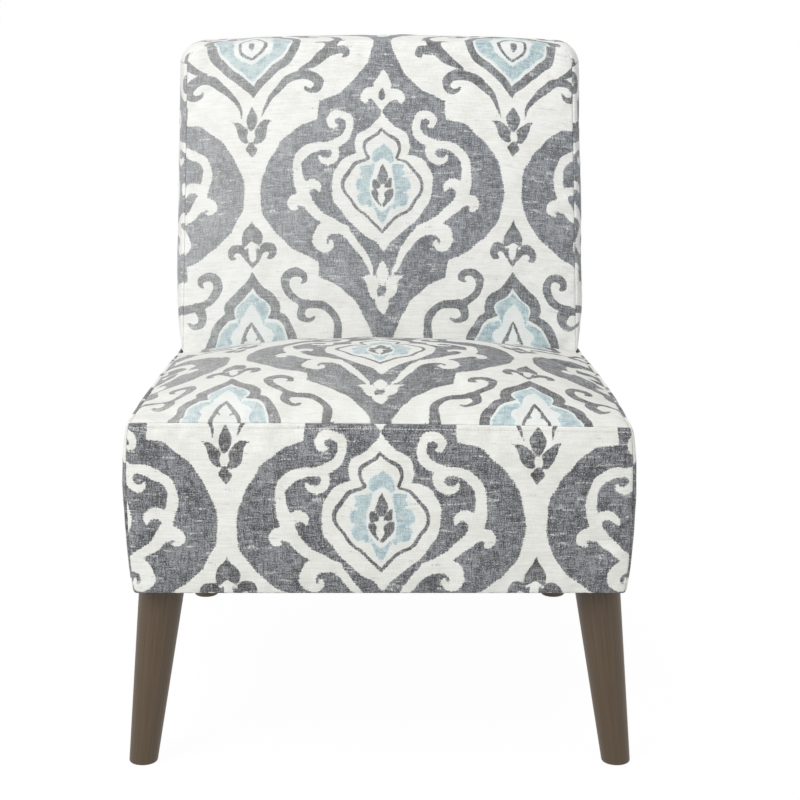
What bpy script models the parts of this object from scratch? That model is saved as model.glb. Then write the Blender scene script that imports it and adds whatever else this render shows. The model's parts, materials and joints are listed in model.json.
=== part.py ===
"""Armless accent chair with a crowned tight seat, a reclined padded back and four splayed tapered legs.

Metres, +Z up, the chair faces -Y. Left and right are as seen from the front.
All pieces are first placed with Y measured back from the front seam, and at the end the whole chair is
shifted so that the origin lies on the floor under the middle of its bounding box.
"""
import math

import bmesh
import bpy

# Clearances and cloth
GAP = 0.0003              # running gap between neighbouring pieces
SEAM_GAP = 0.00025        # half of the opening left at a sewn seam
COVER_T = 0.0020          # upholstery fabric with its backing
PADDING_EDGE = 0.0020     # fibre padding at a seam, where it is thinnest

# Seat body
SEAT_WIDTH_FRONT = 0.551
BODY_DEPTH = 0.612        # front seam to the rear face of the seat body
UNDERSIDE_Z = 0.212
FRONT_SEAM_Z = 0.407
SEAM_DROP = 0.0265        # the side seams fall by this much towards the back
CROWN_PEAK_Y = 0.205
CROWN_FRONT_RISE = 0.034  # from the front seam to the peak of the crown
CROWN_REAR_FALL = 0.0479  # from the peak of the crown to the front seam of the back
FRONT_BULGE = 0.009
SIDE_BULGE = 0.0125
SIDE_SHARPNESS = 0.4       # the side bands turn out quickly behind their upright seams
CORNER_BULGE = 0.006      # the upright front seams bow out by this much
CREVICE_GAP = 0.001
FOAM_EDGE_T = 0.0563      # seat foam between the spring pad and the height of the front seam

# Back
BACK_WIDTH_BASE = 0.521
BACK_TAPER = 0.011        # the top is narrower than the base by this much
BACK_TOP_SEAM_Z = 0.7705
BACK_ARCH = 0.0065        # rise of the top seam from its corners to its middle
BACK_CORNER_R = 0.022
BACK_T = 0.1258           # from the front seam of the back to the rear face, at its base
BACK_RECLINE = math.radians(14.6)
BACK_PUFF = 0.013
BACK_SIDE_BULGE = 0.012
BACK_TOP_BULGE = 0.005
REAR_RECLINE = math.radians(13.2)
REAR_BEND_RISE = 0.0095   # the rear face stands upright up to this height above the back's base
REAR_BEND_BLEND = 0.010
REAR_PUFF = 0.003
TOP_PADDING_T = 0.022     # padding between the top seam and the tops of the posts

# Wooden frame
RAIL_T = 0.012
POST_T = 0.018
POST_DEPTH = 0.060
POST_STEPS = (-0.090, -0.045, -0.020, 0.0, 0.020, 0.050, 0.090)    # corners of the posts about their bend
CROSS_RAIL_T = 0.018
TOP_RAIL_HEIGHT = 0.060
LOWER_RAIL_RISE = 0.0415  # above the base of the back
LOWER_RAIL_HEIGHT = 0.055
BOARD_T = 0.003
BLOCK_LEG = 0.090         # length of a corner block along each rail
BLOCK_HEIGHT = 0.045
BLOCK_NOSE = 0.014        # blunt end of a corner block, against the rail

# Springs and webbing
SPRING_WIRE_R = 0.0019
SPRING_WIDTH = 0.048
SPRING_PITCH = 0.032      # from one cross bar to the next
SPRING_ARC = 0.010        # rise of the springs above their ends
SPRING_COUNT = 4
SPRING_SIDE_GAP = 0.0141  # from the outermost spring to the back post beside it
CLIP_T = 0.0013
CLIP_SLOT = 0.0052
CLIP_DEPTH = 0.0110
CLIP_WIDTH = 0.020
SPRING_PAD_T = 0.0040
WEBBING_WIDTH = 0.050
WEBBING_T = 0.0015
WEBBING_COUNT = 3
WEBBING_SPACING = 0.090
WEBBING_DROP = 0.0635     # from the tops of the posts to the middle of the highest strap

# Legs
LEG_TOP_R = 0.0265
LEG_FOOT_R = 0.0165
LEG_CHAMFER = 0.0020
LEG_SPLAY = 0.0248        # the foot stands out sideways from the leg's top
FRONT_LEG_RAKE = 0.025
REAR_LEG_RAKE = 0.036
FRONT_BOLT_EDGE = 0.0097  # bolt's axis from the flank of its corner block
FRONT_BOLT_BACK = 0.0331  # bolt's axis from the face of the block against the end rail
REAR_BOLT_EDGE = 0.0055
REAR_BOLT_BACK = 0.0204
LEG_BOLT_R = 0.0040
LEG_BOLT_IN_LEG = 0.035
LEG_BOLT_PROUD = 0.004    # end of the bolt above the corner block
GLIDE_R = 0.0110
GLIDE_T = 0.0040
GLIDE_PROUD = 0.0010
DUST_COVER_T = 0.0012

LEVEL_GAP = 0.010         # least distance between two grid lines where a list of heights is cut short
CUTTER_PAST = 0.010       # cutters run past what they cut by this much

# Values that follow from the sizes above
PADDING_FACE = COVER_T + GAP + PADDING_EDGE     # flat inner face of the padding, from the fabric seam
FRAME_FACE = PADDING_FACE + GAP                 # outer face of rails and seat foam, from the fabric seam
FOAM_BASE_Z = FRONT_SEAM_Z - FOAM_EDGE_T
SIDE_RAIL_TOP_Z = FOAM_BASE_Z - GAP
SPRING_PAD_Z = FOAM_BASE_Z - GAP - SPRING_PAD_T
SPRING_END_Z = SPRING_PAD_Z - GAP - SPRING_WIRE_R - SPRING_ARC
CLIP_BASE_Z = SPRING_END_Z - CLIP_SLOT / 2 - CLIP_T
RAIL_TOP_Z = CLIP_BASE_Z - GAP
RAIL_BOTTOM_Z = UNDERSIDE_Z + DUST_COVER_T + GAP
LEG_TOP_Z = UNDERSIDE_Z - GAP
BACK_BASE_Z = FRONT_SEAM_Z - SEAM_DROP
BACK_SEAM_Y = BODY_DEPTH - BACK_T
BACK_WIDTH_TOP = BACK_WIDTH_BASE - BACK_TAPER
REAR_BEND_Z = BACK_BASE_Z + REAR_BEND_RISE
LOWER_RAIL_Z = BACK_BASE_Z + LOWER_RAIL_RISE
REAR_STACK = COVER_T + GAP + BOARD_T + GAP
POST_TOP_Z = BACK_TOP_SEAM_Z - TOP_PADDING_T
TOP_PADDING_Z = POST_TOP_Z + GAP

ROUND_SEGMENTS = 28
SEAT_ACROSS = (-1.0, -0.955, -0.88, -0.76, -0.6, -0.4, -0.2, 0.0, 0.2, 0.4, 0.6, 0.76, 0.88, 0.955, 1.0)
SEAT_ALONG = (0.0, 0.03, 0.075, 0.14, 0.22, 0.32, 0.43, 0.56, 0.7, 0.85, 1.0)
BAND_UP = (0.0, 0.06, 0.17, 0.34, 0.54, 0.72, 0.86, 0.95, 1.0)
BAND_ALONG = (0.0, 0.03, 0.1, 0.25, 0.45, 0.65, 0.8, 0.93, 1.0)
BAND_THICKNESS = (0.0, 0.07, 0.22, 0.5, 0.78, 0.93, 1.0)
BACK_ACROSS = (-1.0, -0.94, -0.84, -0.7, -0.5, -0.25, 0.0, 0.25, 0.5, 0.7, 0.84, 0.94, 1.0)
CORNER_STEPS = 4


def lerp(low, high, share):
    """Value at a share of the way from low to high."""
    return low + (high - low) * share


def material(name, colour, roughness, metallic=0.0):
    """Principled material with one colour."""
    made = bpy.data.materials.new(name)
    made.use_nodes = True
    shader = made.node_tree.nodes["Principled BSDF"]
    shader.inputs["Base Color"].default_value = (*colour, 1.0)
    shader.inputs["Roughness"].default_value = roughness
    shader.inputs["Metallic"].default_value = metallic
    made.diffuse_color = (*colour, 1.0)
    return made


def solid(name, vertices, faces, finish, smooth_angle=None):
    """Closed mesh object with its faces turned outwards."""
    mesh = bpy.data.meshes.new(name)
    mesh.from_pydata(vertices, [], faces)
    work = bmesh.new()
    work.from_mesh(mesh)
    bmesh.ops.recalc_face_normals(work, faces=work.faces)
    work.to_mesh(mesh)
    work.free()
    mesh.materials.append(finish)
    if smooth_angle is not None:
        mesh.shade_smooth()
        mesh.set_sharp_from_angle(angle=math.radians(smooth_angle))
    made = bpy.data.objects.new(name, mesh)
    bpy.context.scene.collection.objects.link(made)
    return made


def panel(name, outer, inner, across, along, finish, smooth_angle=35):
    """Closed solid between two surfaces that share one grid of (u, v) values."""
    columns = len(across)
    rows = len(along)
    vertices = [outer(u, v) for v in along for u in across]
    vertices += [inner(u, v) for v in along for u in across]
    inside = columns * rows
    faces = []
    for row in range(rows - 1):
        for column in range(columns - 1):
            near = row * columns + column
            far = near + columns
            for face in ((near, near + 1, far + 1), (near, far + 1, far)):
                faces.append(face)
                faces.append(tuple(index + inside for index in reversed(face)))
    rim = [column for column in range(columns)]
    rim += [row * columns + columns - 1 for row in range(1, rows)]
    rim += [(rows - 1) * columns + column for column in range(columns - 2, -1, -1)]
    rim += [row * columns for row in range(rows - 2, 0, -1)]
    for here, there in zip(rim, rim[1:] + rim[:1]):
        low = min(here, there) + inside    # walls that face each other are split along like diagonals
        faces.append((here, there, low))
        faces.append((max(here, there), there + inside, here + inside))
    return solid(name, vertices, faces, finish, smooth_angle)


def lofted(name, rings, finish, segments=ROUND_SEGMENTS):
    """Round solid through level rings (centre x, centre y, z, radius), closed at both ends."""
    vertices = []
    for centre_x, centre_y, height, radius in rings:
        for step in range(segments):
            turn = 2 * math.pi * step / segments
            vertices.append((centre_x + radius * math.cos(turn), centre_y + radius * math.sin(turn), height))
    faces = []
    for ring in range(len(rings) - 1):
        base = ring * segments
        for step in range(segments):
            after = (step + 1) % segments
            faces.append((base + step, base + after, base + segments + after, base + segments + step))
    faces.append(tuple(range(segments)))
    last = (len(rings) - 1) * segments
    faces.append(tuple(range(last, last + segments)))
    return solid(name, vertices, faces, finish, 35)


def prism(name, low, high, finish):
    """Solid between two outlines with as many corners, such as the two faces of a board."""
    count = len(low)
    faces = [tuple(range(count)), tuple(range(count, 2 * count))]
    for index in range(count):
        after = (index + 1) % count
        faces.append((index, after, count + after, count + index))
    return solid(name, list(low) + list(high), faces, finish)


# Seat surfaces

def half_width(y):
    """Half of the seat body's width at its seams."""
    return lerp(SEAT_WIDTH_FRONT, BACK_WIDTH_BASE, y / BODY_DEPTH) / 2


def seam_z(y):
    """Height of the side seams."""
    return FRONT_SEAM_Z - SEAM_DROP * min(max(y, 0.0) / BACK_SEAM_Y, 1.0) ** 1.5


def crown(y):
    """Height of the seat's middle line above its side seams."""
    if y < CROWN_PEAK_Y:
        middle = FRONT_SEAM_Z + CROWN_FRONT_RISE * (1 - (1 - y / CROWN_PEAK_Y) ** 3)
    else:
        fall = CROWN_REAR_FALL * ((y - CROWN_PEAK_Y) / (BACK_SEAM_Y - CROWN_PEAK_Y)) ** 2
        middle = FRONT_SEAM_Z + CROWN_FRONT_RISE - fall
    return middle - seam_z(y)


def crown_share(across):
    """Share of the crown at a place across the seat, 1 in the middle and 0 at the seams."""
    return 1 - abs(across) ** 2.7


def swell(share):
    """Bulge of a padded band between its lower edge and its top seam, fullest above the middle."""
    place = share ** 1.3
    return math.sqrt(max(4 * place * (1 - place), 0.0))


def plump(share, sharpness=0.6):
    """Bulge between two like edges, quicker to rise where its sharpness is less."""
    return max(4 * share * (1 - share), 0.0) ** sharpness


def crevice_y(across):
    """Rear edge of the visible seat, just in front of the back."""
    return back_face_y(across, BACK_BASE_Z) - CREVICE_GAP


def seat_front(across, up, inset, bulge=1.0):
    """Front band of the seat body."""
    x = across * (half_width(0) - inset - SEAM_GAP + bulge * CORNER_BULGE * swell(up))
    y = inset - bulge * FRONT_BULGE * swell(up) * plump((across + 1) / 2)
    z = lerp(UNDERSIDE_Z, FRONT_SEAM_Z - inset - SEAM_GAP, up)
    return (x, y, z)


def seat_side(side, along, up, inset, bulge=1.0):
    """Side band of the seat body."""
    y = lerp(inset + SEAM_GAP, BODY_DEPTH - inset - SEAM_GAP, along)
    out = CORNER_BULGE * (1 - along) + SIDE_BULGE * plump(along, SIDE_SHARPNESS)
    x = half_width(y) - inset + bulge * out * swell(up)
    z = lerp(UNDERSIDE_Z, seam_z(y) - inset - SEAM_GAP, up)
    return (side * x, y, z)


def seat_top(across, along, inset, side_inset):
    """Crowned top of the seat."""
    y = lerp(side_inset + SEAM_GAP, crevice_y(across) - (side_inset - inset), along)
    x = across * (half_width(y) - side_inset - SEAM_GAP)
    z = seam_z(y) + crown(y) * crown_share(across) - inset
    return (x, y, z)


def side_rail_outer(y):
    """Outer face of a side rail."""
    return half_width(y) - FRAME_FACE


def post_outer(y):
    """Outer face of a back post, against the side rail."""
    return side_rail_outer(y) - RAIL_T - GAP


# Back surfaces

def back_half_width(z):
    """Half of the back's width at its seams, without the rounding of its corners."""
    share = (z - BACK_BASE_Z) / (BACK_TOP_SEAM_Z - BACK_BASE_Z)
    return lerp(BACK_WIDTH_BASE, BACK_WIDTH_TOP, min(max(share, 0.0), 1.0)) / 2


def corner_cut(z, radius):
    """How far a rounded top corner draws in the side at a height."""
    above = max(z - (BACK_TOP_SEAM_Z - BACK_CORNER_R), 0.0) * radius / BACK_CORNER_R
    return radius - math.sqrt(max(radius ** 2 - above ** 2, 0.0))


def back_seam_y(z):
    """Front seam of the back."""
    return BACK_SEAM_Y + (z - BACK_BASE_Z) * math.tan(BACK_RECLINE)


def back_face_y(across, z):
    """Front of the padded back."""
    share = (z - FOAM_BASE_Z) / (BACK_TOP_SEAM_Z - FOAM_BASE_Z)
    puff = (1 - abs(across) ** 3.5) * (1 - abs(2 * share - 1) ** 3)
    return back_seam_y(z) - BACK_PUFF * max(puff, 0.0)


def rear_y(z):
    """Rear face, upright at the seat body and reclined above it."""
    above = z - REAR_BEND_Z
    return BODY_DEPTH + (above + math.hypot(above, REAR_BEND_BLEND)) / 2 * math.tan(REAR_RECLINE)


def arch(across, share):
    """Rise of the back's upper edge from its corners to its middle."""
    return BACK_ARCH * (1 - across ** 2) * share ** 6


def back_panel(across, z, inset, place_y):
    """Point of the back's front or rear panel, with y from place_y."""
    width = back_half_width(z) - inset - SEAM_GAP - corner_cut(z, BACK_CORNER_R)
    share = max((z - BACK_BASE_Z) / (BACK_TOP_SEAM_Z - BACK_BASE_Z), 0.0)
    height = z + arch(across, share) - (inset + SEAM_GAP) * share ** 24
    return (across * width, place_y, height)


def back_front(across, z, inset):
    """Front panel of the back."""
    return back_panel(across, z, inset, back_face_y(across, z) + inset)


def back_rear(across, z, inset):
    """Rear panel, one piece from the top seam down to the underside."""
    share = (z - UNDERSIDE_Z) / (BACK_TOP_SEAM_Z - UNDERSIDE_Z)
    puff = REAR_PUFF * plump((across + 1) / 2) * plump(share)
    return back_panel(across, z, inset, rear_y(z) + puff - inset)


def back_side(side, through, z, inset, bulge=1.0):
    """Side band of the back, between its front and rear seams."""
    y = lerp(back_seam_y(z) + inset + SEAM_GAP, rear_y(z) - inset - SEAM_GAP, through)
    share = (z - BACK_BASE_Z) / (BACK_TOP_SEAM_Z - BACK_CORNER_R - BACK_BASE_Z)
    rise = min(share / 0.15, 1.0) ** 0.5
    x = back_half_width(z) - inset + bulge * BACK_SIDE_BULGE * plump(through) * rise
    return (side * x, y, z)


def top_path(place):
    """Top seam line: place runs from -2 to -1 round the left corner, to 1 along the top and to 2."""
    straight = BACK_WIDTH_TOP / 2 - BACK_CORNER_R
    if abs(place) <= 1:
        slope = -2 * BACK_ARCH * place / straight
        size = math.hypot(slope, 1)
        return (place * straight, BACK_TOP_SEAM_Z + arch(place, 1), -slope / size, 1 / size)
    turn = math.radians(90) * (2 - abs(place))
    side = math.copysign(1, place)
    x = side * (straight + BACK_CORNER_R * math.cos(turn))
    z = BACK_TOP_SEAM_Z - BACK_CORNER_R + BACK_CORNER_R * math.sin(turn)
    return (x, z, side * math.cos(turn), math.sin(turn))


def back_top(place, through, inset):
    """Top band of the back, with both rounded corners."""
    x, z, normal_x, normal_z = top_path(place)
    out = lerp(BACK_TOP_BULGE, BACK_SIDE_BULGE, max(abs(place) - 1, 0)) * plump(through) - inset
    level = min(z, BACK_TOP_SEAM_Z)
    y = lerp(back_seam_y(level) + inset + SEAM_GAP, rear_y(level) - inset - SEAM_GAP, through)
    return (x + out * normal_x, y, z + out * normal_z)


def post_rear(z):
    """Rear edge of the back posts."""
    return rear_y(z) - REAR_STACK


def post_front(z):
    """Front edge of the back posts."""
    return post_rear(z) - POST_DEPTH


def corner_heights():
    """Heights of the steps round a top corner of the back, above its side band."""
    base = BACK_TOP_SEAM_Z - BACK_CORNER_R
    turns = [math.radians(90) * step / CORNER_STEPS for step in range(1, CORNER_STEPS + 1)]
    return [base + BACK_CORNER_R * math.sin(turn) for turn in turns]


def side_heights():
    """Heights of the grid lines of the back's side band."""
    shares = (0.0, 0.03, 0.07, 0.12, 0.2, 0.33, 0.5, 0.67, 0.82, 0.93, 1.0)
    return [lerp(BACK_BASE_Z, BACK_TOP_SEAM_Z - BACK_CORNER_R, share) for share in shares]


# Covers, padding and foam

def build_seat_covers(fabric, fibre):
    """Sewn seat cover and the fibre padding behind its bands."""
    panel("seat_cover_top",
          lambda a, b: seat_top(a, b, 0, 0),
          lambda a, b: seat_top(a, b, COVER_T, COVER_T),
          SEAT_ACROSS, SEAT_ALONG, fabric)
    panel("seat_cover_front",
          lambda a, c: seat_front(a, c, 0),
          lambda a, c: seat_front(a, c, COVER_T),
          SEAT_ACROSS, BAND_UP, fabric)
    panel("front_padding",
          lambda a, c: seat_front(a, c, COVER_T + GAP),
          lambda a, c: seat_front(a, c, PADDING_FACE, 0),
          SEAT_ACROSS, BAND_UP[1:], fibre)
    for side, word in ((-1, "left"), (1, "right")):
        panel("seat_cover_" + word,
              lambda b, c: seat_side(side, b, c, 0),
              lambda b, c: seat_side(side, b, c, COVER_T),
              BAND_ALONG, BAND_UP, fabric)
        panel("side_padding_" + word,
              lambda b, c: seat_side(side, b, c, COVER_T + GAP),
              lambda b, c: seat_side(side, b, c, PADDING_FACE, 0),
              BAND_ALONG, BAND_UP[1:], fibre)


def build_seat_foam(foam):
    """Crowned foam block on the spring pad."""
    def lower(across, along):
        x, y, _ = seat_top(across, along, COVER_T + GAP, FRAME_FACE)
        rake = (BACK_BASE_Z - FOAM_BASE_Z) * math.tan(BACK_RECLINE)
        y -= along * rake
        return (across * (half_width(y) - FRAME_FACE), y, FOAM_BASE_Z)

    panel("seat_foam",
          lambda a, b: seat_top(a, b, COVER_T + GAP, FRAME_FACE),
          lower, SEAT_ACROSS, SEAT_ALONG, foam)


def build_back_covers(fabric, fibre):
    """Sewn back cover and the padding behind its bands."""
    heights = side_heights()
    corners = corner_heights()
    panel("back_cover_front",
          lambda a, z: back_front(a, z, 0),
          lambda a, z: back_front(a, z, COVER_T),
          BACK_ACROSS, [BACK_BASE_Z + SEAM_GAP] + heights[1:] + corners, fabric)
    lower = [seat_side(1, 1, up, 0)[2] for up in BAND_UP]
    panel("back_cover_rear",
          lambda a, z: back_rear(a, z, 0),
          lambda a, z: back_rear(a, z, COVER_T),
          BACK_ACROSS, lower + heights[1:] + corners, fabric)
    low_edge = [BACK_BASE_Z + SEAM_GAP] + heights[1:-1] + [heights[-1] - SEAM_GAP]
    for side, word in ((-1, "left"), (1, "right")):
        panel("back_cover_" + word,
              lambda v, z: back_side(side, v, z, 0),
              lambda v, z: back_side(side, v, z, COVER_T),
              BAND_THICKNESS, low_edge, fabric)

        def frame_side(through, z):
            y = back_side(side, through, z, PADDING_FACE, 0)[1]
            return (side * (post_outer(y) + GAP), y, z)

        panel("back_padding_" + word,
              lambda v, z: back_side(side, v, z, COVER_T + GAP),
              frame_side, BAND_THICKNESS, low_edge, fibre)
    turns = [step / CORNER_STEPS for step in range(CORNER_STEPS)]
    places = [-2 + turn for turn in turns] + list(BACK_ACROSS) + [2 - turn for turn in reversed(turns)]
    panel("back_cover_top",
          lambda p, v: back_top(p, v, 0),
          lambda p, v: back_top(p, v, COVER_T),
          places, BAND_THICKNESS, fabric)

    def frame_top(place, through):
        x = back_top(place, through, PADDING_FACE)[0]
        front = back_seam_y(TOP_PADDING_Z) + PADDING_FACE
        rear = rear_y(TOP_PADDING_Z) - PADDING_FACE
        return (x, lerp(front, rear, through), TOP_PADDING_Z)

    panel("back_padding_top",
          lambda p, v: back_top(p, v, COVER_T + GAP),
          frame_top, places, BAND_THICKNESS, fibre)


def build_back_foam(foam):
    """Foam slab in front of the webbing, down to the spring pad."""
    heights = [FOAM_BASE_Z] + [z for z in side_heights() if z < POST_TOP_Z - LEVEL_GAP] + [POST_TOP_Z]

    def front(across, z):
        y = back_face_y(across, z) + COVER_T + GAP
        return (across * (post_outer(y) - GAP), y, z)

    def rear(across, z):
        y = post_front(z) - WEBBING_T - 2 * GAP
        return (across * (post_outer(y) - GAP), y, z)

    panel("back_foam", front, rear, BACK_ACROSS, heights, foam)


# Wooden frame

def board_across(name, low_z, high_z, front_y, rear_y_at, half, finish):
    """Cross board between two heights, whose faces follow front_y(z) and rear_y_at(z)."""
    low = [(-half, front_y(low_z), low_z), (half, front_y(low_z), low_z),
           (half, rear_y_at(low_z), low_z), (-half, rear_y_at(low_z), low_z)]
    high = [(-half, front_y(high_z), high_z), (half, front_y(high_z), high_z),
            (half, rear_y_at(high_z), high_z), (-half, rear_y_at(high_z), high_z)]
    return prism(name, low, high, finish)


def front_rail_rear():
    """Rear face of the front rail."""
    return FRAME_FACE + RAIL_T


def rear_rail_front():
    """Front face of the rear rail."""
    return BODY_DEPTH - COVER_T - GAP - RAIL_T


def build_seat_frame(ply):
    """Four seat rails."""
    front = FRAME_FACE
    rear = BODY_DEPTH - COVER_T - GAP
    front_outline = [(-side_rail_outer(front), front), (side_rail_outer(front), front),
                     (side_rail_outer(front_rail_rear()), front_rail_rear()),
                     (-side_rail_outer(front_rail_rear()), front_rail_rear())]
    prism("seat_rail_front", [(x, y, RAIL_BOTTOM_Z) for x, y in front_outline],
          [(x, y, RAIL_TOP_Z) for x, y in front_outline], ply)
    inner = post_outer(rear) - POST_T - GAP
    rear_outline = [(-inner, rear_rail_front()), (inner, rear_rail_front()), (inner, rear), (-inner, rear)]
    prism("seat_rail_rear", [(x, y, RAIL_BOTTOM_Z) for x, y in rear_outline],
          [(x, y, RAIL_TOP_Z) for x, y in rear_outline], ply)
    start = front_rail_rear() + GAP
    for side, word in ((-1, "left"), (1, "right")):
        outline = [(side_rail_outer(start), start), (side_rail_outer(rear), rear),
                   (side_rail_outer(rear) - RAIL_T, rear), (side_rail_outer(start) - RAIL_T, start)]
        prism("seat_rail_" + word, [(side * x, y, RAIL_BOTTOM_Z) for x, y in outline],
              [(side * x, y, SIDE_RAIL_TOP_Z) for x, y in outline], ply)


def build_back_frame(ply):
    """Two posts lapped inside the side rails, and two cross rails between them."""
    heights = [RAIL_BOTTOM_Z] + [REAR_BEND_Z + step for step in POST_STEPS] + [POST_TOP_Z]
    for side, word in ((-1, "left"), (1, "right")):
        outline = [(post_front(z), z) for z in heights] + [(post_rear(z), z) for z in reversed(heights)]
        outer = [(side * post_outer(y), y, z) for y, z in outline]
        inner = [(side * (post_outer(y) - POST_T), y, z) for y, z in outline]
        prism("back_post_" + word, inner, outer, ply)
    between = post_outer(post_rear(POST_TOP_Z)) - POST_T - GAP
    board_across("back_top_rail", POST_TOP_Z - TOP_RAIL_HEIGHT, POST_TOP_Z,
                 lambda z: post_rear(z) - CROSS_RAIL_T, post_rear, between, ply)
    between = post_outer(post_rear(LOWER_RAIL_Z + LOWER_RAIL_HEIGHT)) - POST_T - GAP
    board_across("back_lower_rail", LOWER_RAIL_Z, LOWER_RAIL_Z + LOWER_RAIL_HEIGHT,
                 lambda z: post_rear(z) - CROSS_RAIL_T, post_rear, between, ply)


def build_back_board(fibreboard):
    """Thin board behind the posts that the rear panel lies on."""
    half = post_outer(post_rear(POST_TOP_Z))
    heights = [z for z in side_heights() if LOWER_RAIL_Z < z < POST_TOP_Z - LEVEL_GAP] + [POST_TOP_Z]
    panel("back_board",
          lambda a, z: (a * half, rear_y(z) - COVER_T - GAP, z),
          lambda a, z: (a * half, rear_y(z) - COVER_T - GAP - BOARD_T, z),
          (-1, 1), [LOWER_RAIL_Z] + heights, fibreboard)


def bolt_cutter(name, centre):
    """Upright cutter for the leg bolt's hole, through the dust cover and the corner block."""
    radius = LEG_BOLT_R + GAP
    high = RAIL_BOTTOM_Z + BLOCK_HEIGHT + CUTTER_PAST
    rings = [(*centre, UNDERSIDE_Z - CUTTER_PAST, radius), (*centre, high, radius)]
    cutter = lofted(name, rings, bpy.data.materials["steel"], 20)
    cutter.hide_render = True
    cutter.display_type = "WIRE"
    return cutter


def cut(piece, cutter):
    """Boolean difference kept on the piece."""
    modifier = piece.modifiers.new("hole", "BOOLEAN")
    modifier.operation = "DIFFERENCE"
    modifier.object = cutter


def build_corner_blocks(wood, cutters):
    """Three-cornered glue blocks that take the leg bolts."""
    low = RAIL_BOTTOM_Z
    high = RAIL_BOTTOM_Z + BLOCK_HEIGHT
    for side, word in ((-1, "left"), (1, "right")):
        start = front_rail_rear() + GAP
        flank = side_rail_outer(start + BLOCK_LEG) - RAIL_T - GAP
        corner = side_rail_outer(start) - RAIL_T - GAP
        outline = [(corner, start), (flank, start + BLOCK_LEG), (flank - BLOCK_NOSE, start + BLOCK_LEG),
                   (corner - BLOCK_LEG, start + BLOCK_NOSE), (corner - BLOCK_LEG, start)]
        block = prism("corner_block_front_" + word, [(side * x, y, low) for x, y in outline],
                      [(side * x, y, high) for x, y in outline], wood)
        cut(block, cutters["front_" + word])
        end = rear_rail_front() - GAP
        flank = post_outer(end - BLOCK_LEG) - POST_T - GAP
        corner = post_outer(end) - POST_T - GAP
        outline = [(corner, end), (flank, end - BLOCK_LEG), (flank - BLOCK_NOSE, end - BLOCK_LEG),
                   (corner - BLOCK_LEG, end - BLOCK_NOSE), (corner - BLOCK_LEG, end)]
        block = prism("corner_block_rear_" + word, [(side * x, y, low) for x, y in outline],
                      [(side * x, y, high) for x, y in outline], wood)
        cut(block, cutters["rear_" + word])


# Springs and webbing

def spring_points(centre_x, start_y, end_y):
    """Centre line of a sinuous spring: cross bars joined by half rounds, arched upwards."""
    bars = int(round((end_y - start_y) / SPRING_PITCH)) + 1
    pitch = (end_y - start_y) / (bars - 1)
    reach = SPRING_WIDTH / 2 - pitch / 2
    mirror = 1 if centre_x > 0 else -1
    flat = []
    for bar in range(bars):
        y = start_y + bar * pitch
        side = mirror if bar % 2 == 0 else -mirror
        flat.append((-side * reach, y))
        if bar == bars - 1:
            flat.append((side * reach, y))
            break
        for step in range(5):
            turn = math.pi * step / 4
            flat.append((side * (reach + pitch / 2 * math.sin(turn)), y + pitch / 2 * (1 - math.cos(turn))))
    cleaned = [flat[0]]
    for point in flat[1:]:
        if math.dist(point, cleaned[-1]) > 0.001:
            cleaned.append(point)
    rise = [SPRING_ARC * math.sin(math.pi * (y - start_y) / (end_y - start_y)) for _, y in cleaned]
    return [(centre_x + x, y, SPRING_END_Z + up) for (x, y), up in zip(cleaned, rise)]


def build_springs(steel):
    """Four sinuous springs from rail to rail, each held by a clip at both ends."""
    start = FRAME_FACE + RAIL_T / 2
    end = BODY_DEPTH - COVER_T - GAP - RAIL_T / 2
    outermost = post_outer(BODY_DEPTH) - POST_T - SPRING_SIDE_GAP - SPRING_WIDTH / 2
    places = [lerp(-outermost, outermost, index / (SPRING_COUNT - 1)) for index in range(SPRING_COUNT)]
    for number, place in enumerate(places, 1):
        curve = bpy.data.curves.new("seat_spring_%d" % number, "CURVE")
        curve.dimensions = "3D"
        curve.bevel_depth = SPRING_WIRE_R
        curve.bevel_resolution = 1
        curve.use_fill_caps = True
        points = spring_points(place, start, end)
        spline = curve.splines.new("POLY")
        spline.points.add(len(points) - 1)
        for target, point in zip(spline.points, points):
            target.co = (*point, 1.0)
        curve.materials.append(steel)
        spring = bpy.data.objects.new("seat_spring_%d" % number, curve)
        bpy.context.scene.collection.objects.link(spring)
        for word, y, facing in (("front", start, 1), ("rear", end, -1)):
            build_clip("spring_clip_%s_%d" % (word, number), place, y, facing, steel)


def build_clip(name, x, y, facing, steel):
    """Folded clip on the rail's edge, open towards the seat, round the spring's last bar."""
    back = y - facing * CLIP_DEPTH / 2
    front = y + facing * CLIP_DEPTH / 2
    base = CLIP_BASE_Z
    slot_low = base + CLIP_T
    slot_high = slot_low + CLIP_SLOT
    high = slot_high + CLIP_T
    wall = back + facing * CLIP_T
    lip = front + facing * CLIP_T
    outline = [(back, base), (front, base), (front, slot_low), (wall, slot_low), (wall, slot_high),
               (front, slot_high), (lip, slot_high), (front, high), (back, high)]
    half = CLIP_WIDTH / 2
    prism(name, [(x - half, py, pz) for py, pz in outline], [(x + half, py, pz) for py, pz in outline], steel)


def build_spring_pad(felt):
    """Felt sheet between the springs and the foam."""
    front = front_rail_rear() + GAP
    rear = rear_rail_front() - GAP
    inner_front = side_rail_outer(front) - RAIL_T - GAP
    post_start = post_front(SPRING_PAD_Z) - GAP
    inner_post = side_rail_outer(post_start) - RAIL_T - GAP
    narrow = post_outer(rear) - POST_T - GAP
    outline = [(-inner_front, front), (inner_front, front), (inner_post, post_start), (narrow, post_start),
               (narrow, rear), (-narrow, rear), (-narrow, post_start), (-inner_post, post_start)]
    prism("spring_pad", [(x, y, SPRING_PAD_Z) for x, y in outline],
          [(x, y, SPRING_PAD_Z + SPRING_PAD_T) for x, y in outline], felt)


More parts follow.
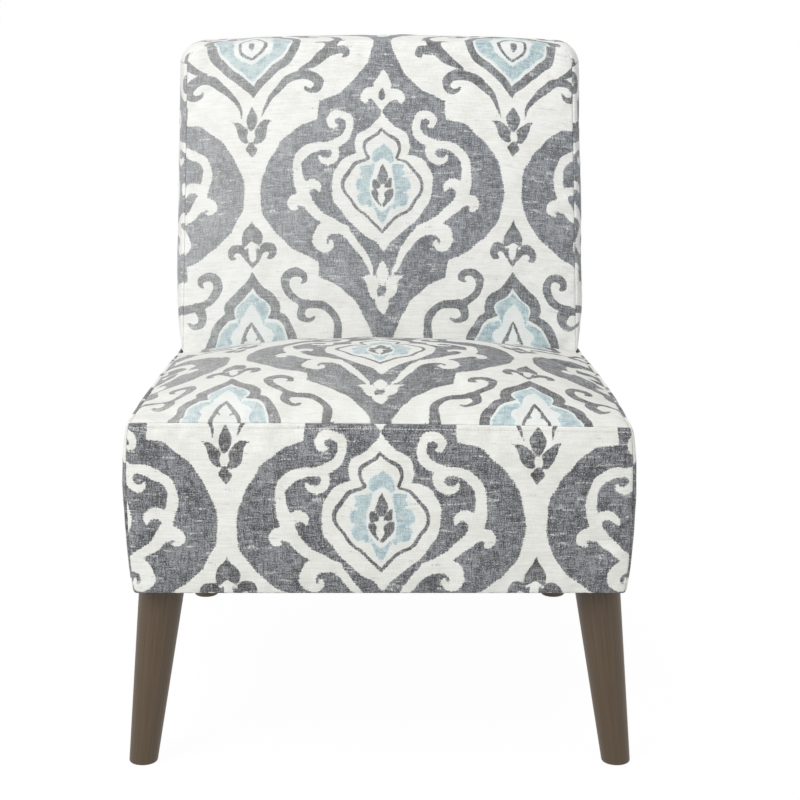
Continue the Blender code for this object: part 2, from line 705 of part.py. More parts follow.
def build_webbing(elastic):
    """Three straps across the fronts of the posts."""
    highest = POST_TOP_Z - WEBBING_DROP
    places = [highest - index * WEBBING_SPACING for index in reversed(range(WEBBING_COUNT))]
    for number, place in enumerate(places, 1):
        low = place - WEBBING_WIDTH / 2
        high = place + WEBBING_WIDTH / 2
        half = post_outer(post_front(high)) - GAP
        board_across("back_webbing_%d" % number, low, high,
                     lambda z: post_front(z) - GAP - WEBBING_T, lambda z: post_front(z) - GAP, half, elastic)


# Legs and underside

def leg_places():
    """Top and foot of each leg, whose bolts stand in the corner blocks."""
    front_y = front_rail_rear() + GAP + FRONT_BOLT_BACK
    front_x = side_rail_outer(front_y) - RAIL_T - GAP - FRONT_BOLT_EDGE
    rear_y_at = rear_rail_front() - GAP - REAR_BOLT_BACK
    rear_x = post_outer(rear_y_at) - POST_T - GAP - REAR_BOLT_EDGE
    places = {}
    for side, word in ((-1, "left"), (1, "right")):
        places["front_" + word] = ((side * front_x, front_y),
                                   (side * (front_x + LEG_SPLAY), front_y - FRONT_LEG_RAKE))
        places["rear_" + word] = ((side * rear_x, rear_y_at),
                                  (side * (rear_x + LEG_SPLAY), rear_y_at + REAR_LEG_RAKE))
    return places


def build_leg(name, top, foot, wood, steel, nylon):
    """Tapered splayed leg, its hanger bolt and its glide."""
    sole = GLIDE_PROUD

    def at(z):
        share = (z - sole) / (LEG_TOP_Z - sole)
        return lerp(foot[0], top[0], share), lerp(foot[1], top[1], share)

    def radius(z):
        return lerp(LEG_FOOT_R, LEG_TOP_R, (z - sole) / (LEG_TOP_Z - sole))

    recess_top = GLIDE_T + GAP
    hole = LEG_BOLT_R + GAP
    hole_end = LEG_TOP_Z - LEG_BOLT_IN_LEG
    rings = [(*foot, recess_top, GLIDE_R + GAP),
             (*foot, sole, GLIDE_R + GAP),
             (*at(sole), sole, LEG_FOOT_R - LEG_CHAMFER),
             (*at(sole + LEG_CHAMFER), sole + LEG_CHAMFER, radius(sole + LEG_CHAMFER)),
             (*at(LEG_TOP_Z - LEG_CHAMFER / 2), LEG_TOP_Z - LEG_CHAMFER / 2, radius(LEG_TOP_Z)),
             (*top, LEG_TOP_Z, LEG_TOP_R - LEG_CHAMFER / 2),
             (*top, LEG_TOP_Z, hole),
             (*top, hole_end, hole)]
    lofted("leg_" + name, rings, wood)
    bolt_low = hole_end + GAP
    bolt_high = RAIL_BOTTOM_Z + BLOCK_HEIGHT + LEG_BOLT_PROUD
    point = LEG_BOLT_R / 2
    lofted("leg_bolt_" + name, [(*top, bolt_low, point), (*top, bolt_low + point, LEG_BOLT_R),
                                (*top, bolt_high - point / 2, LEG_BOLT_R),
                                (*top, bolt_high, LEG_BOLT_R - point / 2)], steel, 20)
    lofted("leg_glide_" + name, [(*foot, 0.0, GLIDE_R - GLIDE_PROUD), (*foot, GLIDE_PROUD, GLIDE_R),
                                 (*foot, GLIDE_T, GLIDE_R)], nylon, 20)


def build_dust_cover(cambric, cutters):
    """Thin cloth under the frame, with a hole for each leg bolt."""
    front = COVER_T + 2 * GAP
    rear = BODY_DEPTH - COVER_T - 2 * GAP
    inset = COVER_T + 2 * GAP
    outline = [(-half_width(front) + inset, front), (half_width(front) - inset, front),
               (half_width(rear) - inset, rear), (-half_width(rear) + inset, rear)]
    cover = prism("dust_cover", [(x, y, UNDERSIDE_Z) for x, y in outline],
                  [(x, y, UNDERSIDE_Z + DUST_COVER_T) for x, y in outline], cambric)
    for cutter in cutters.values():
        cut(cover, cutter)


def centre_on_floor():
    """Shift every piece so that the bounding box is centred over the origin."""
    bpy.context.view_layer.update()
    corners = [piece.matrix_world @ vertex.co
               for piece in bpy.data.objects if piece.type == "MESH" and not piece.hide_render
               for vertex in piece.data.vertices]
    middle = (min(corner.y for corner in corners) + max(corner.y for corner in corners)) / 2
    for piece in bpy.data.objects:
        piece.location.y -= middle
    print("front seam at y = %.4f" % -middle)


def main():
    for old in list(bpy.data.objects):
        bpy.data.objects.remove(old)
    fabric = material("fabric", (0.78, 0.77, 0.74), 0.9)
    fibre = material("fibre", (0.90, 0.90, 0.88), 0.95)
    foam = material("foam", (0.86, 0.80, 0.62), 0.95)
    ply = material("plywood", (0.62, 0.45, 0.27), 0.7)
    block = material("block_wood", (0.70, 0.55, 0.36), 0.7)
    board = material("fibreboard", (0.36, 0.27, 0.18), 0.8)
    felt = material("felt", (0.42, 0.42, 0.42), 0.95)
    elastic = material("webbing", (0.12, 0.12, 0.13), 0.8)
    steel = material("steel", (0.55, 0.56, 0.58), 0.35, 1.0)
    leg_wood = material("leg_wood", (0.11, 0.085, 0.055), 0.42)
    nylon = material("nylon", (0.05, 0.05, 0.05), 0.5)
    cambric = material("cambric", (0.03, 0.03, 0.03), 0.9)

    places = leg_places()
    cutters = {name: bolt_cutter("cutter_" + name, top) for name, (top, _) in places.items()}
    build_seat_covers(fabric, fibre)
    build_seat_foam(foam)
    build_back_covers(fabric, fibre)
    build_back_foam(foam)
    build_seat_frame(ply)
    build_back_frame(ply)
    build_back_board(board)
    build_corner_blocks(block, cutters)
    build_springs(steel)
    build_spring_pad(felt)
    build_webbing(elastic)
    for name, (top, foot) in places.items():
        build_leg(name, top, foot, leg_wood, steel, nylon)
    build_dust_cover(cambric, cutters)
    centre_on_floor()


main()
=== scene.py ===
"""Looks of the armless accent chair: printed linen upholstery, stained legs, camera and light.

The print is an ogee damask, drawn here from curve strokes. Design coordinates put y = 0 at the seat's front
seam, and SHIFT moves them into the frame's. Left and right are as seen from the front.
"""
import json
import math

import bpy
import numpy as np
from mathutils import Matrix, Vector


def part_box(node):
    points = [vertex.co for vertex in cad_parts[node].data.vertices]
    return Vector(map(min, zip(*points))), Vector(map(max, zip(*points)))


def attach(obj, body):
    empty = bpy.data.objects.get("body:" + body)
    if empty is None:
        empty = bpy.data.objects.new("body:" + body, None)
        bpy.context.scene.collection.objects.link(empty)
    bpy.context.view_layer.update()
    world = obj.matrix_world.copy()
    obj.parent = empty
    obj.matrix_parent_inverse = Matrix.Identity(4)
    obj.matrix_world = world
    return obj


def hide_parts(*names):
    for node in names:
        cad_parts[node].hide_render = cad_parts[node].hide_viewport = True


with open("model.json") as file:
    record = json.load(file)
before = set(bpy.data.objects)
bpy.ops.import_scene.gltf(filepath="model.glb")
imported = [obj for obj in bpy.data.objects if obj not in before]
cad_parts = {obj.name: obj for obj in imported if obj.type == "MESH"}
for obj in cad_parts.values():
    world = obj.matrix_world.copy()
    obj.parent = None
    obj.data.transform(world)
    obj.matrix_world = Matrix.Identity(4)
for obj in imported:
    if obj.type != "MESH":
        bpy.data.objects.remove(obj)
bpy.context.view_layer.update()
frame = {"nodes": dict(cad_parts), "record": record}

# Sizes shared with the solids, in metres
COVER_T = 0.0020
PADDING_FACE = 0.0043
FRAME_FACE = 0.0046
SEAM_GAP = 0.00025
SEAT_WIDTH_FRONT = 0.551
BODY_DEPTH = 0.612
UNDERSIDE_Z = 0.212
FRONT_SEAM_Z = 0.407
SEAM_DROP = 0.0265
CROWN_PEAK_Y = 0.205
CROWN_FRONT_RISE = 0.034
CROWN_REAR_FALL = 0.0479
FRONT_BULGE = 0.009
SIDE_BULGE = 0.0125
SIDE_SHARPNESS = 0.4
CORNER_BULGE = 0.006
CREVICE_GAP = 0.001
FOAM_BASE_Z = 0.3507
BACK_WIDTH_BASE = 0.521
BACK_WIDTH_TOP = 0.510
BACK_ARCH = 0.0065
BACK_CORNER_R = 0.022
BACK_SEAM_Y = 0.4862
BACK_BASE_Z = FRONT_SEAM_Z - SEAM_DROP
BACK_RECLINE = math.tan(math.radians(14.6))
BACK_PUFF = 0.013
BACK_SIDE_BULGE = 0.012
REAR_RECLINE = math.tan(math.radians(13.2))
REAR_BEND_Z = BACK_BASE_Z + 0.0095
REAR_BEND_BLEND = 0.010
REAR_PUFF = 0.003
POST_TOP_Z = 0.7485
POST_DEPTH = 0.060
REAR_STACK = 0.0056
LEG_TOP_R = 0.0265
LEG_FOOT_R = 0.0165
LEG_TOP_Z = 0.2117
LEG_SOLE_Z = 0.0010

# Axes of the legs at their tops and soles, as distance from the chair's middle and place in depth
LEG_AXES = {"front": ((0.24767, 0.050), (0.27247, 0.025)), "rear": ((0.22066, 0.577), (0.24546, 0.613))}

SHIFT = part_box("seat_rail_front")[0].y - FRAME_FACE

# Where the looks differ slightly from the solids: the top seam of the back lies higher under less bulge, and
# the front seam is tilted
TILT_MIDDLE = 0.0025
TILT_SLOPE = 0.0027
TILT_BEND = 0.0016
BACK_TOP_SEAM_Z = 0.7712
BACK_TOP_BULGE = 0.0022
BACK_CORNER_Z = BACK_TOP_SEAM_Z - BACK_CORNER_R
BACK_DEPTH = 0.125          # only sets how fine the grids of the back's bands are
BAND_HEIGHT = FRONT_SEAM_Z - UNDERSIDE_Z

# Meshes and sewing. A seam draws a panel in by a depth over a reach. Waves have a length in millimetres and a
# height in metres, and a pucker's pitches are millimetres along the seam.
WORDS = {-1: "left", 1: "right"}
HALF = math.sqrt(0.5)
SPACING = 0.0023
WIDE_SPACING = SPACING * 1.15
CORNER_STEPS = 15
SEAM_STEPS = [0.0, 0.0006, 0.0013, 0.0021, 0.0031, 0.0043]
SEWN = (0.0014, 0.0040)
STAPLED = (0.0012, 0.0036)
EDGE_INSET = 0.007          # from a panel's seams to the rim of its inner side
LOW_INSET = 0.003
HIGH_INSET = 0.008
BROAD_WAVES = (95.0, 0.00065)
FINE_WAVES = (34.0, 0.00025)
WAVE_MARGIN = 0.012         # from a seam to where the waves are at full height
PUCKER = 0.22
PUCKER_PITCHES = (13.0, 37.0)
STITCH_BELOW = 0.0066       # under the seam
STITCH_PITCH = 4.2          # millimetres
STITCH_GROOVE = 0.0008
WEAVE_PITCH = 1.55          # millimetres
FAR_STITCH = 50.0           # millimetres, where there is no stitch line
FAR_PRINT = 10.0            # millimetres, where there is no print

# Cloth that settles over its padding
CLOTH_SPACING = 0.0075
SETTLE_FRAMES = 20
SETTLED_RISE = 0.0022       # panels start this much flatter
SETTLED_MOST = 0.0028       # and no point moves further than this
SETTLE_MARGIN = 0.05        # from a seam to where a panel starts at its flattest
CLOTH_SETTINGS = {"vertex_group_mass": "seam", "quality": 6, "mass": 0.3, "tension_stiffness": 20,
                  "compression_stiffness": 20, "shear_stiffness": 8, "bending_stiffness": 0.6,
                  "shrink_min": -0.012, "use_pressure": True, "uniform_pressure_force": 1.2}

# The print, in units of which 261 are its width across and 317 its height
REPEAT_X = 261.0
REPEAT_Y = 317.0
UNITS_PER_MM = REPEAT_X / 343.0
RASTER_STEP = 0.75
FAR = 8.0                   # distances are kept up to this many units
OGEE_MIDDLE = 187.0         # height of an ogee's middle in the repeat

# Height in the repeat at each panel's upper or front seam, and millimetres of its columns off the middle
SEAT_PHASE = 344.5
BAND_PHASE = 105.2
BACK_PHASE = 42.5
SEAT_OFFSET = 1.1
BAND_OFFSET = 2.1
BACK_OFFSET = 3.8
SIDE_PRINT_START = 131.0
BACK_SIDE_TOP = 0.028       # print above the back's side bands, round the corner, in metres
BACK_SIDE_START = 255.0     # where the print of the back's side bands begins, in millimetres
BACK_SIDE_RUN = 118.0       # millimetres of print from the front to the rear of the back's bands

# How the cloth's pull moves the print: by print units, except the corner pulls, over runs in millimetres.
# Pairs of moves are for left and right, and pairs of runs say where they start and how long they are.
MIDDLE_DRIFT = 20.0
MIDDLE_DRIFT_RUN = (115, 110)
SIDE_DRIFT_FRONT = 3.0
SIDE_DRIFT = 28.0
SIDE_DRIFT_RUN = 85.0
RIGHT_DRIFT_SHARE = 0.82
CORNER_PULLS = (7.0, 12.0)
CORNER_PULL_RUN = (190, 65)
CORNER_PULL_DEPTH = 50.0
DROOPS = (7.0, 10.0)
DROOP_RUN = (150, 100)
BACK_RISE = 3.5
BACK_RISE_RUN = 150.0

# Camera, and lamps as name, place, size and power
LENS = 97.4
LENS_SHIFT = 0.0255
CAMERA_BACK = 2.301         # before the front seam
CAMERA_HEIGHT = 1.005
CAMERA_DOWN = 13.9          # degrees
WORLD_LIGHT = 0.50
FLOOR_GLOW = 1.02
SHADOW_HIDDEN = 0.95        # share of the floor's own shading that the camera doesn't see
LAMP_AIM = (0.0, 0.0, 0.45)
LAMPS = [("key", (-1.7, -1.9, 2.2), 1.6, 46),
         ("fill", (1.7, -2.3, 1.9), 2.0, 9),
         ("top", (0.0, 0.1, 3.0), 2.2, 20)]


def lerp(low, high, share):
    return low + (high - low) * share


# Drawing of the print. Points are (distance from the column's axis, height down from its middle), and in a
# stroke a third number is its width. A third number 1 in an outline marks a corner.

SLATE_FIELD = [
    (9.3, -175, 1), (9, -158), (8.5, -147), (9.5, -137), (14, -127), (19.5, -117), (27.5, -107),
    (38, -97), (52.5, -90), (64, -85.5, 1), (63.5, -67.5, 1), (79.5, -64), (92.5, -54), (103, -44),
    (112.5, -30), (119.5, -14), (122.3, 3), (121, 16), (118, 27), (108.5, 43), (95.5, 56), (82.5, 65),
    (65, 73.5, 1), (64.5, 90, 1), (49.5, 95.5), (36.5, 105.5), (24.5, 118), (16.5, 133), (11.5, 146),
    (9.4, 158), (9.3, 175, 1)]

IVORY_OUTLINES = [
    # upper fleuron
    [(0, -119, 1), (3, -114.5), (6.5, -109.5), (9.2, -104.5), (9.3, -101), (7.4, -98.6, 1), (12, -99.3),
     (17, -98.3), (21, -95), (22.8, -90), (21.4, -85.3), (18, -83.2), (15.4, -84), (15.1, -87, 1),
     (13, -86.8), (9, -84.3), (5, -80.3), (1.5, -77), (0, -75.2, 1)],
    # medallion
    [(0, -76, 1), (2.8, -69), (7.5, -64.5), (12.5, -60.3), (17.5, -57), (22.5, -54), (26, -49.7),
     (27.3, -44), (27.3, -38.5), (25.3, -33.5, 1), (32, -32.2), (38.5, -30), (42.5, -26.5), (44.8, -21),
     (47.8, -15), (49.5, -7), (49.8, 3), (48.6, 10.6), (45, 17.4), (40, 25), (34, 32), (28, 37.8),
     (22, 42.6), (16, 47.4), (10, 52), (5.2, 56.6), (2.4, 60), (0, 63.8, 1)],
    # lower fleuron: lozenge, wing and bud
    [(0, 73, 1), (3.4, 78), (6.8, 84.5), (6.4, 89.5), (3.8, 94.5), (0, 99, 1)],
    [(22, 88.8, 1), (15, 87.6), (9, 89.2), (5.4, 93), (3, 97), (3.4, 100), (4.4, 103), (3, 107),
     (4.4, 110.4, 1), (7.6, 111), (11.4, 108.4), (14.4, 104), (15.4, 98), (17.8, 93)],
    [(0, 107.6, 1), (3.6, 109.4), (6.8, 112), (6.6, 116.4), (4.4, 121.4), (1.8, 125), (0, 128, 1)],
]

IVORY_STROKES = [
    # great scroll: upper curl, stem and its thin end
    [(47, -61, 3.5), (50.5, -62, 6), (51.8, -67, 7), (48, -72, 7.6), (41.5, -72.8, 8), (35, -69, 8),
     (33.4, -60, 8.2), (36.5, -52, 8.2), (43.5, -45.8, 8.4), (53, -42.8, 8.6), (63, -42, 9),
     (72, -38.6, 9.4), (79.4, -33.4, 9.2), (83.6, -26, 8.8), (84.6, -17, 9.2), (83.8, -8, 10),
     (81, 2, 11), (77, 12, 12), (69.5, 22, 11), (59, 30.5, 9), (47.5, 37.6, 9), (37.5, 45, 9.6),
     (29, 53.6, 9), (22, 63, 7.6), (17, 72.5, 6.2), (13, 81.5, 4.4), (10.8, 89, 1.6)],
    # lower curl
    [(38, 41.5, 10), (48, 40.2, 13), (57, 42.2, 13.4), (62, 47.5, 13.4), (63.2, 54, 12.4),
     (59.5, 59.2, 9), (54.6, 59.6, 7), (51.6, 56.6, 5), (52.6, 53, 2.6)],
    # small inner curl
    [(50, -41, 9), (47.6, -35, 8.4), (50, -29, 7.6), (55.6, -25.6, 6.8), (61, -27, 5.4), (63.2, -30.6, 3)],
    # hooked leaf
    [(79, 2, 8.4), (74.8, -3, 9), (69.2, -4.6, 8.6), (64.2, -1.8, 7), (62.4, 3.4, 2.6)],
    # side lobe
    [(80, 14, 10), (86, 12.6, 10.6), (91, 15, 9.6), (91.4, 19, 7.6), (87.6, 21.2, 4.4)],
]

DARK_IN_OGEE = [
    # fleuron's drops
    [(0, -99.5, 1), (2.2, -95), (3.7, -91), (3, -87.5), (0, -85.6, 1)],
    [(0, 98, 1), (2.6, 101), (3.4, 104), (1.8, 106.6), (0, 107, 1)],
    # leaf in the medallion
    [(0, -23.5, 1), (2.6, -19.5), (5.4, -14.5), (6.2, -10.5), (4.4, -7.5), (2.4, -5), (0, -4.4, 1)],
    [(2, -3), (4.8, -6.4), (7.4, -8.8), (10.6, -9.4, 1), (10.4, -5), (9.4, -0.8), (6.2, 1.2, 1),
     (4, -0.4), (2.2, 0.2)],
    [(2.6, 5.4), (4.8, 2.6), (7.6, 1.4), (11.6, 1, 1), (11, 7), (8.4, 12), (5, 16.2), (1, 20.6, 1),
     (1, 16.6), (3.2, 12.6), (3.8, 9)],
]

MEDALLION_LINE = [
    (0, -59.4, 1.8), (3.5, -55, 2.8), (8.5, -51.2, 3), (13.2, -47.4, 3.2), (16.3, -43, 3.2),
    (17.2, -38.4, 3.2), (15.6, -33.2, 3), (13.8, -29.8, 2.8), (19, -27.8, 2.6), (25, -25.4, 3.4),
    (29.4, -21, 3.4), (33, -16.5, 3.4), (36.4, -11, 3.6), (38.4, -5, 3.6), (38.6, 0.8, 3.4),
    (36.2, 7.2, 3), (32, 13, 3), (29, 17.6, 3.4), (23.6, 22.8, 2.8), (17.6, 27, 2.8), (12, 31.2, 2.8),
    (7, 36.2, 2.8), (3.2, 40.8, 3), (0, 45.6, 1.8)]

BLUE_IN_OGEE = [
    [(0, -45, 1), (3, -41), (7.4, -38), (9.8, -33), (10.2, -26.4), (7.8, -23.6), (4.4, -26),
     (0, -28.6, 1)],
    [(9.2, -22.4), (14.5, -22.8), (22.4, -22.6, 1), (20.6, -17), (22.6, -13.4), (17.4, -9.4, 1),
     (24.8, -9), (27, -3.6), (26.2, 3), (19.4, 5, 1), (25.4, 7.4), (24.8, 13), (20.6, 18.2), (15.4, 18),
     (12, 21), (10.4, 18.6), (12.2, 9), (13.6, 0), (12.4, -9)],
    [(0, 37, 1), (3, 32), (5.6, 26.4), (8.6, 20.6), (10, 15.6), (5.6, 20.8), (2.4, 23), (0, 24.2, 1)],
]

SIDE_STROKES = [
    # upper outline, from the peak
    [(0, -73.5, 1.4), (1.5, -66.6, 5.4), (4.9, -59.4, 9.6), (11.2, -53, 10.8), (18, -47.8, 11),
     (22.4, -42, 10.6), (23.2, -36.4, 9.4), (20.6, -31.4, 6.8)],
    # lower outline
    [(17, -29.6, 2.6), (23, -30.2, 7), (29, -27.8, 8.4), (34.6, -22, 8.6), (39, -13.6, 8.8), (42, -5, 9),
     (43.4, 3, 9), (43.4, 11, 9), (41.6, 19.6, 9), (37.6, 27, 9), (31.8, 33.4, 9), (25, 39, 8.8),
     (18.2, 44.6, 8.6), (11.4, 50.6, 8.6), (5, 57, 8.4), (1, 63, 6), (0, 69, 1.6)],
    # heart and its marks
    [(0, -23.5, 2), (3, -17.4, 3.2), (6, -11.4, 3.4), (9, -5, 3.2), (11.6, 2, 2.8), (13, 9.6, 3.2),
     (13.2, 16, 3.4), (11.4, 21.4, 3), (7.8, 25.6, 2.8), (3.6, 28.6, 2.8), (0, 31.2, 2.4)],
    [(6.4, -8.5, 2.4), (4.4, -5.6, 1.6)],
    [(0.2, 9.4, 1.8), (1, 12.6, 3.8), (1.2, 16.4, 4), (0.3, 21.4, 1.4)],
    # lower scroll with its curl
    [(11.2, 89, 1.2), (13.2, 80, 3), (17.4, 71, 4.6), (24.6, 62.6, 6.6), (32.4, 55.4, 8.2),
     (40.4, 49.6, 9), (50, 46.2, 9.2), (59.6, 47.2, 9.6), (66, 53.6, 9.8), (64.6, 60.2, 8.4),
     (58.6, 63, 6.2), (53.6, 61.4, 4.2), (51.6, 58.4, 2)],
    # vine from the lower scroll to the S scroll
    [(49, 40.4, 2.4), (58, 36.6, 6), (66.4, 31, 8.8), (74, 24.6, 10), (79.6, 16, 9), (84, 6, 8.4),
     (85.6, -6, 8.2), (85, -19.6, 8), (82.8, -28.6, 7.6), (78.2, -36, 7.4), (71.4, -40.6, 7.6),
     (63.4, -42.6, 8), (55, -43, 8), (47.4, -44.4, 7.8), (40.6, -48.8, 7.8), (35.8, -55, 8.4),
     (33.8, -61.4, 8.4), (34.6, -68, 8.4), (39, -72.8, 8), (46, -73.6, 7.8), (51.2, -70.6, 7),
     (51.8, -65.8, 5), (48.4, -63.4, 2.2)],
    [(56, -43.6, 8.4), (50.4, -38, 9.2), (49, -31, 8.6), (52.6, -26.4, 6.2), (58.6, -25, 4.4),
     (63.8, -28.8, 2.2)],
    # vine's leaves
    [(75, 24, 8.4), (84, 21.6, 9.4), (91.4, 21.4, 8.6), (95.2, 25.4, 5.4), (91, 29, 2.6)],
    [(75.4, 22, 8), (75, 15.6, 6.2), (70.4, 12.4, 3.6), (64.4, 13.6, 1.2)],
    # lobes of the fleur-de-lis
    [(8.8, -94.6, 4), (12.4, -98.6, 8.6), (17, -98.4, 9.4), (20.2, -94.4, 7.8), (19.6, -89.6, 5.6),
     (16.2, -88.2, 3)],
]

SIDE_OUTLINES = [
    # tulip: upper bud, petal and lower bud
    [(0, 78, 1), (3, 82.6), (6, 88), (5.7, 93), (3.8, 97.4), (1.6, 101), (0, 102, 1)],
    [(3.2, 101.4), (7.6, 96), (13, 92.6), (21.4, 91.8, 1), (17.4, 95.6), (15.5, 101.4), (13.6, 107.2),
     (9.8, 112), (5.7, 113.7), (3, 111.8), (4.3, 107.2)],
    [(0, 112, 1), (2.6, 113), (3.6, 115.6), (6.2, 119), (3.6, 123.2), (0, 128.2, 1)],
    # fleur-de-lis: bud and foot
    [(0, -127, 1), (2.2, -121), (6.8, -116), (9.8, -110), (9.8, -104.6), (7.6, -100.6), (4.8, -101.6),
     (2.2, -103.6), (0, -104.8, 1)],
    [(3.6, -99.6), (6.4, -97.6), (9.6, -95), (9.4, -91.4), (6.2, -86.6), (2.8, -81.8), (0, -77.6, 1),
     (0, -84.4, 1), (2.6, -87.6), (3.8, -93.6)],
    # leaf at the vine's bend
    [(80, 15), (86, 9), (91, 4), (93.5, -3, 1), (88, 1), (83, 6)],
]

SIDE_BLUE = [
    # chevron under the peak
    [(0, -53, 1), (5, -48.6), (10, -45.4), (14.6, -41), (16.2, -36.4), (15, -30.6), (13.2, -25.6),
     (12, -21.4, 1), (11, -25.4), (9, -31), (5, -38.2), (0, -44.2, 1)],
    # band along the lower outline, widest at its sides
    [(15, -24.6, 1), (22.6, -22.8), (28.2, -18.8), (32.4, -12.6), (35.4, -4.8), (36.8, 3.2), (36.4, 11),
     (34, 18.6), (29.2, 25), (23, 30.4), (17, 35.4), (11, 40.8), (5, 46.8), (0, 51.2, 1), (-6, 46, 1),
     (-6, 37, 1), (0, 36.2), (4.4, 34), (8.6, 30.6), (13.4, 27.6), (18, 23.6), (19.4, 18.4), (20.4, 11),
     (21.8, 4), (18.8, -3.6), (21.4, -9.8), (19.8, -15), (16.6, -18.2), (12.6, -20.2, 1)],
]

SIDE_WASH = [
    (0, -58, 1), (6, -50), (13, -45.4), (17.4, -40), (17.6, -33), (16, -27, 1), (23, -25.4),
    (29.4, -20.6), (34.2, -13), (37.2, -4), (38.4, 4), (38.2, 12), (35.8, 19), (30.8, 25.6), (24.4, 31.6),
    (17.4, 37.4), (10, 44), (4, 51), (0, 57, 1)]


def smooth_path(points, closed):
    """Points of a curve through the drawn ones, with straight tangents at corners."""
    count = len(points)
    rows = np.array([point[:2] for point in points], float)
    corner = [closed and len(point) > 2 and point[2] == 1 for point in points]
    steps = 5
    made = []
    for index in range(count if closed else count - 1):
        after = (index + 1) % count
        before_start = index if corner[index] or (index == 0 and not closed) else index - 1
        beyond = after if corner[after] or (after == count - 1 and not closed) else (after + 1) % count
        start_slope = (rows[after] - rows[before_start]) / (1 if before_start == index else 2)
        end_slope = (rows[beyond] - rows[index]) / (1 if beyond == after else 2)
        for step in range(steps):
            t = step / steps
            made.append((2 * t ** 3 - 3 * t ** 2 + 1) * rows[index] + (t ** 3 - 2 * t ** 2 + t) * start_slope
                        + (3 * t ** 2 - 2 * t ** 3) * rows[after] + (t ** 3 - t ** 2) * end_slope)
    if not closed:
        made.append(rows[-1])
    return np.array(made)


def segment_distance(x, y, start, end):
    """Distance of grid points from a segment, and how far along it each one's nearest point lies."""
    run = end - start
    length = max(float(run @ run), 1e-9)
    along = np.clip(((x - start[0]) * run[0] + (y - start[1]) * run[1]) / length, 0, 1)
    return np.hypot(x - start[0] - along * run[0], y - start[1] - along * run[1]), along


def window(x, y, path, margin):
    """Index arrays of the grid rows and columns near a path."""
    columns = np.where((x[0] > path[:, 0].min() - margin) & (x[0] < path[:, 0].max() + margin))[0]
    rows = np.where((y[:, 0] > path[:, 1].min() - margin) & (y[:, 0] < path[:, 1].max() + margin))[0]
    return np.ix_(rows, columns)


def stroke_distance(x, y, points):
    """Signed distance from a stroke of changing width, negative inside it."""
    path = smooth_path([point[:2] for point in points], False)
    knots = np.linspace(0, 1, len(points))
    widths = np.interp(np.linspace(0, 1, len(path)), knots, [point[2] for point in points])
    out = np.full(x.shape, FAR)
    near = window(x, y, path, FAR + max(widths) / 2)
    gx = x[near]
    gy = y[near]
    best = np.full(gx.shape, FAR)
    for start, end, low, high in zip(path[:-1], path[1:], widths[:-1], widths[1:]):
        gap, along = segment_distance(gx, gy, start, end)
        best = np.minimum(best, gap - lerp(low, high, along) / 2)
    out[near] = best
    return out


def outline_distance(x, y, points):
    """Signed distance from a closed outline, mirrored if its ends are on the axis or beyond the repeat."""
    on_axis = points[0][0] == 0 and points[-1][0] == 0
    if on_axis or abs(points[0][1]) > REPEAT_Y / 2:
        points = list(points) + [(-point[0], *point[1:]) for point in reversed(points) if point[0] > 0]
    path = smooth_path(points, True)
    out = np.full(x.shape, FAR)
    near = window(x, y, path, FAR)
    gx = x[near]
    gy = y[near]
    best = np.full(gx.shape, FAR)
    inside = np.zeros(gx.shape, bool)
    for start, end in zip(path, np.roll(path, -1, axis=0)):
        best = np.minimum(best, segment_distance(gx, gy, start, end)[0])
        if start[1] != end[1]:
            crossing = (start[1] > gy) != (end[1] > gy)
            edge_x = start[0] + (gy - start[1]) / (end[1] - start[1]) * (end[0] - start[0])
            inside ^= crossing & (gx < edge_x)
    out[near] = np.where(inside, -best, best)
    return out


def draw_print():
    """Layers of half a repeat, as distances from their shapes' edges: an ogee, and what is between two."""
    x, y = np.meshgrid(np.arange(0, REPEAT_X / 2 + RASTER_STEP, RASTER_STEP),
                       np.arange(0, REPEAT_Y, RASTER_STEP) - REPEAT_Y / 2)

    def union(outlines, strokes=()):
        return np.minimum.reduce([outline_distance(x, y, shape) for shape in outlines]
                                 + [stroke_distance(x, y, shape) for shape in strokes])

    field = np.maximum(union([SLATE_FIELD]), -union(IVORY_OUTLINES, IVORY_STROKES))
    ogee = (field, union(DARK_IN_OGEE, [MEDALLION_LINE]), union(BLUE_IN_OGEE))
    return ogee, (union(SIDE_OUTLINES, SIDE_STROKES), union(SIDE_BLUE), union([SIDE_WASH]))


def sample(raster, across, down):
    """Bilinear value of a drawn layer at a distance from its axis and a height down its repeat."""
    rows, columns = raster.shape
    column = np.clip(across / RASTER_STEP, 0, columns - 1.001)
    row = down % REPEAT_Y / RASTER_STEP
    c0 = column.astype(int)
    r0 = row.astype(int) % rows
    r1 = (r0 + 1) % rows
    fc = column - c0
    upper = lerp(raster[r0, c0], raster[r0, c0 + 1], fc)
    lower = lerp(raster[r1, c0], raster[r1, c0 + 1], fc)
    return lerp(upper, lower, row - np.floor(row))


PRINT = draw_print()


def print_values(u, phase):
    """Print at a place: u in millimetres from a column of ogees, phase in the print's units of height."""
    x = u * UNITS_PER_MM
    x = x + 0.9 * np.sin(x * 0.11 + phase * 0.07) + 0.6 * np.sin(x * 0.23 - phase * 0.19 + 1.3)
    y = phase + 0.8 * np.sin(x * 0.09 - phase * 0.11 + 0.4) + 0.5 * np.sin(x * 0.21 + phase * 0.17)
    from_ogee = np.abs((x + REPEAT_X / 2) % REPEAT_X - REPEAT_X / 2)
    down = y - OGEE_MIDDLE
    ogee, between = PRINT
    field, motif, blue = (sample(layer, from_ogee, down + REPEAT_Y / 2) for layer in ogee)
    side_motif, side_blue, wash = (sample(layer, REPEAT_X / 2 - from_ogee, down) for layer in between)
    layers = (field, np.minimum(motif, side_motif), np.minimum(blue, side_blue), wash)
    return [layer / UNITS_PER_MM for layer in layers]


# Surfaces, as in the solids

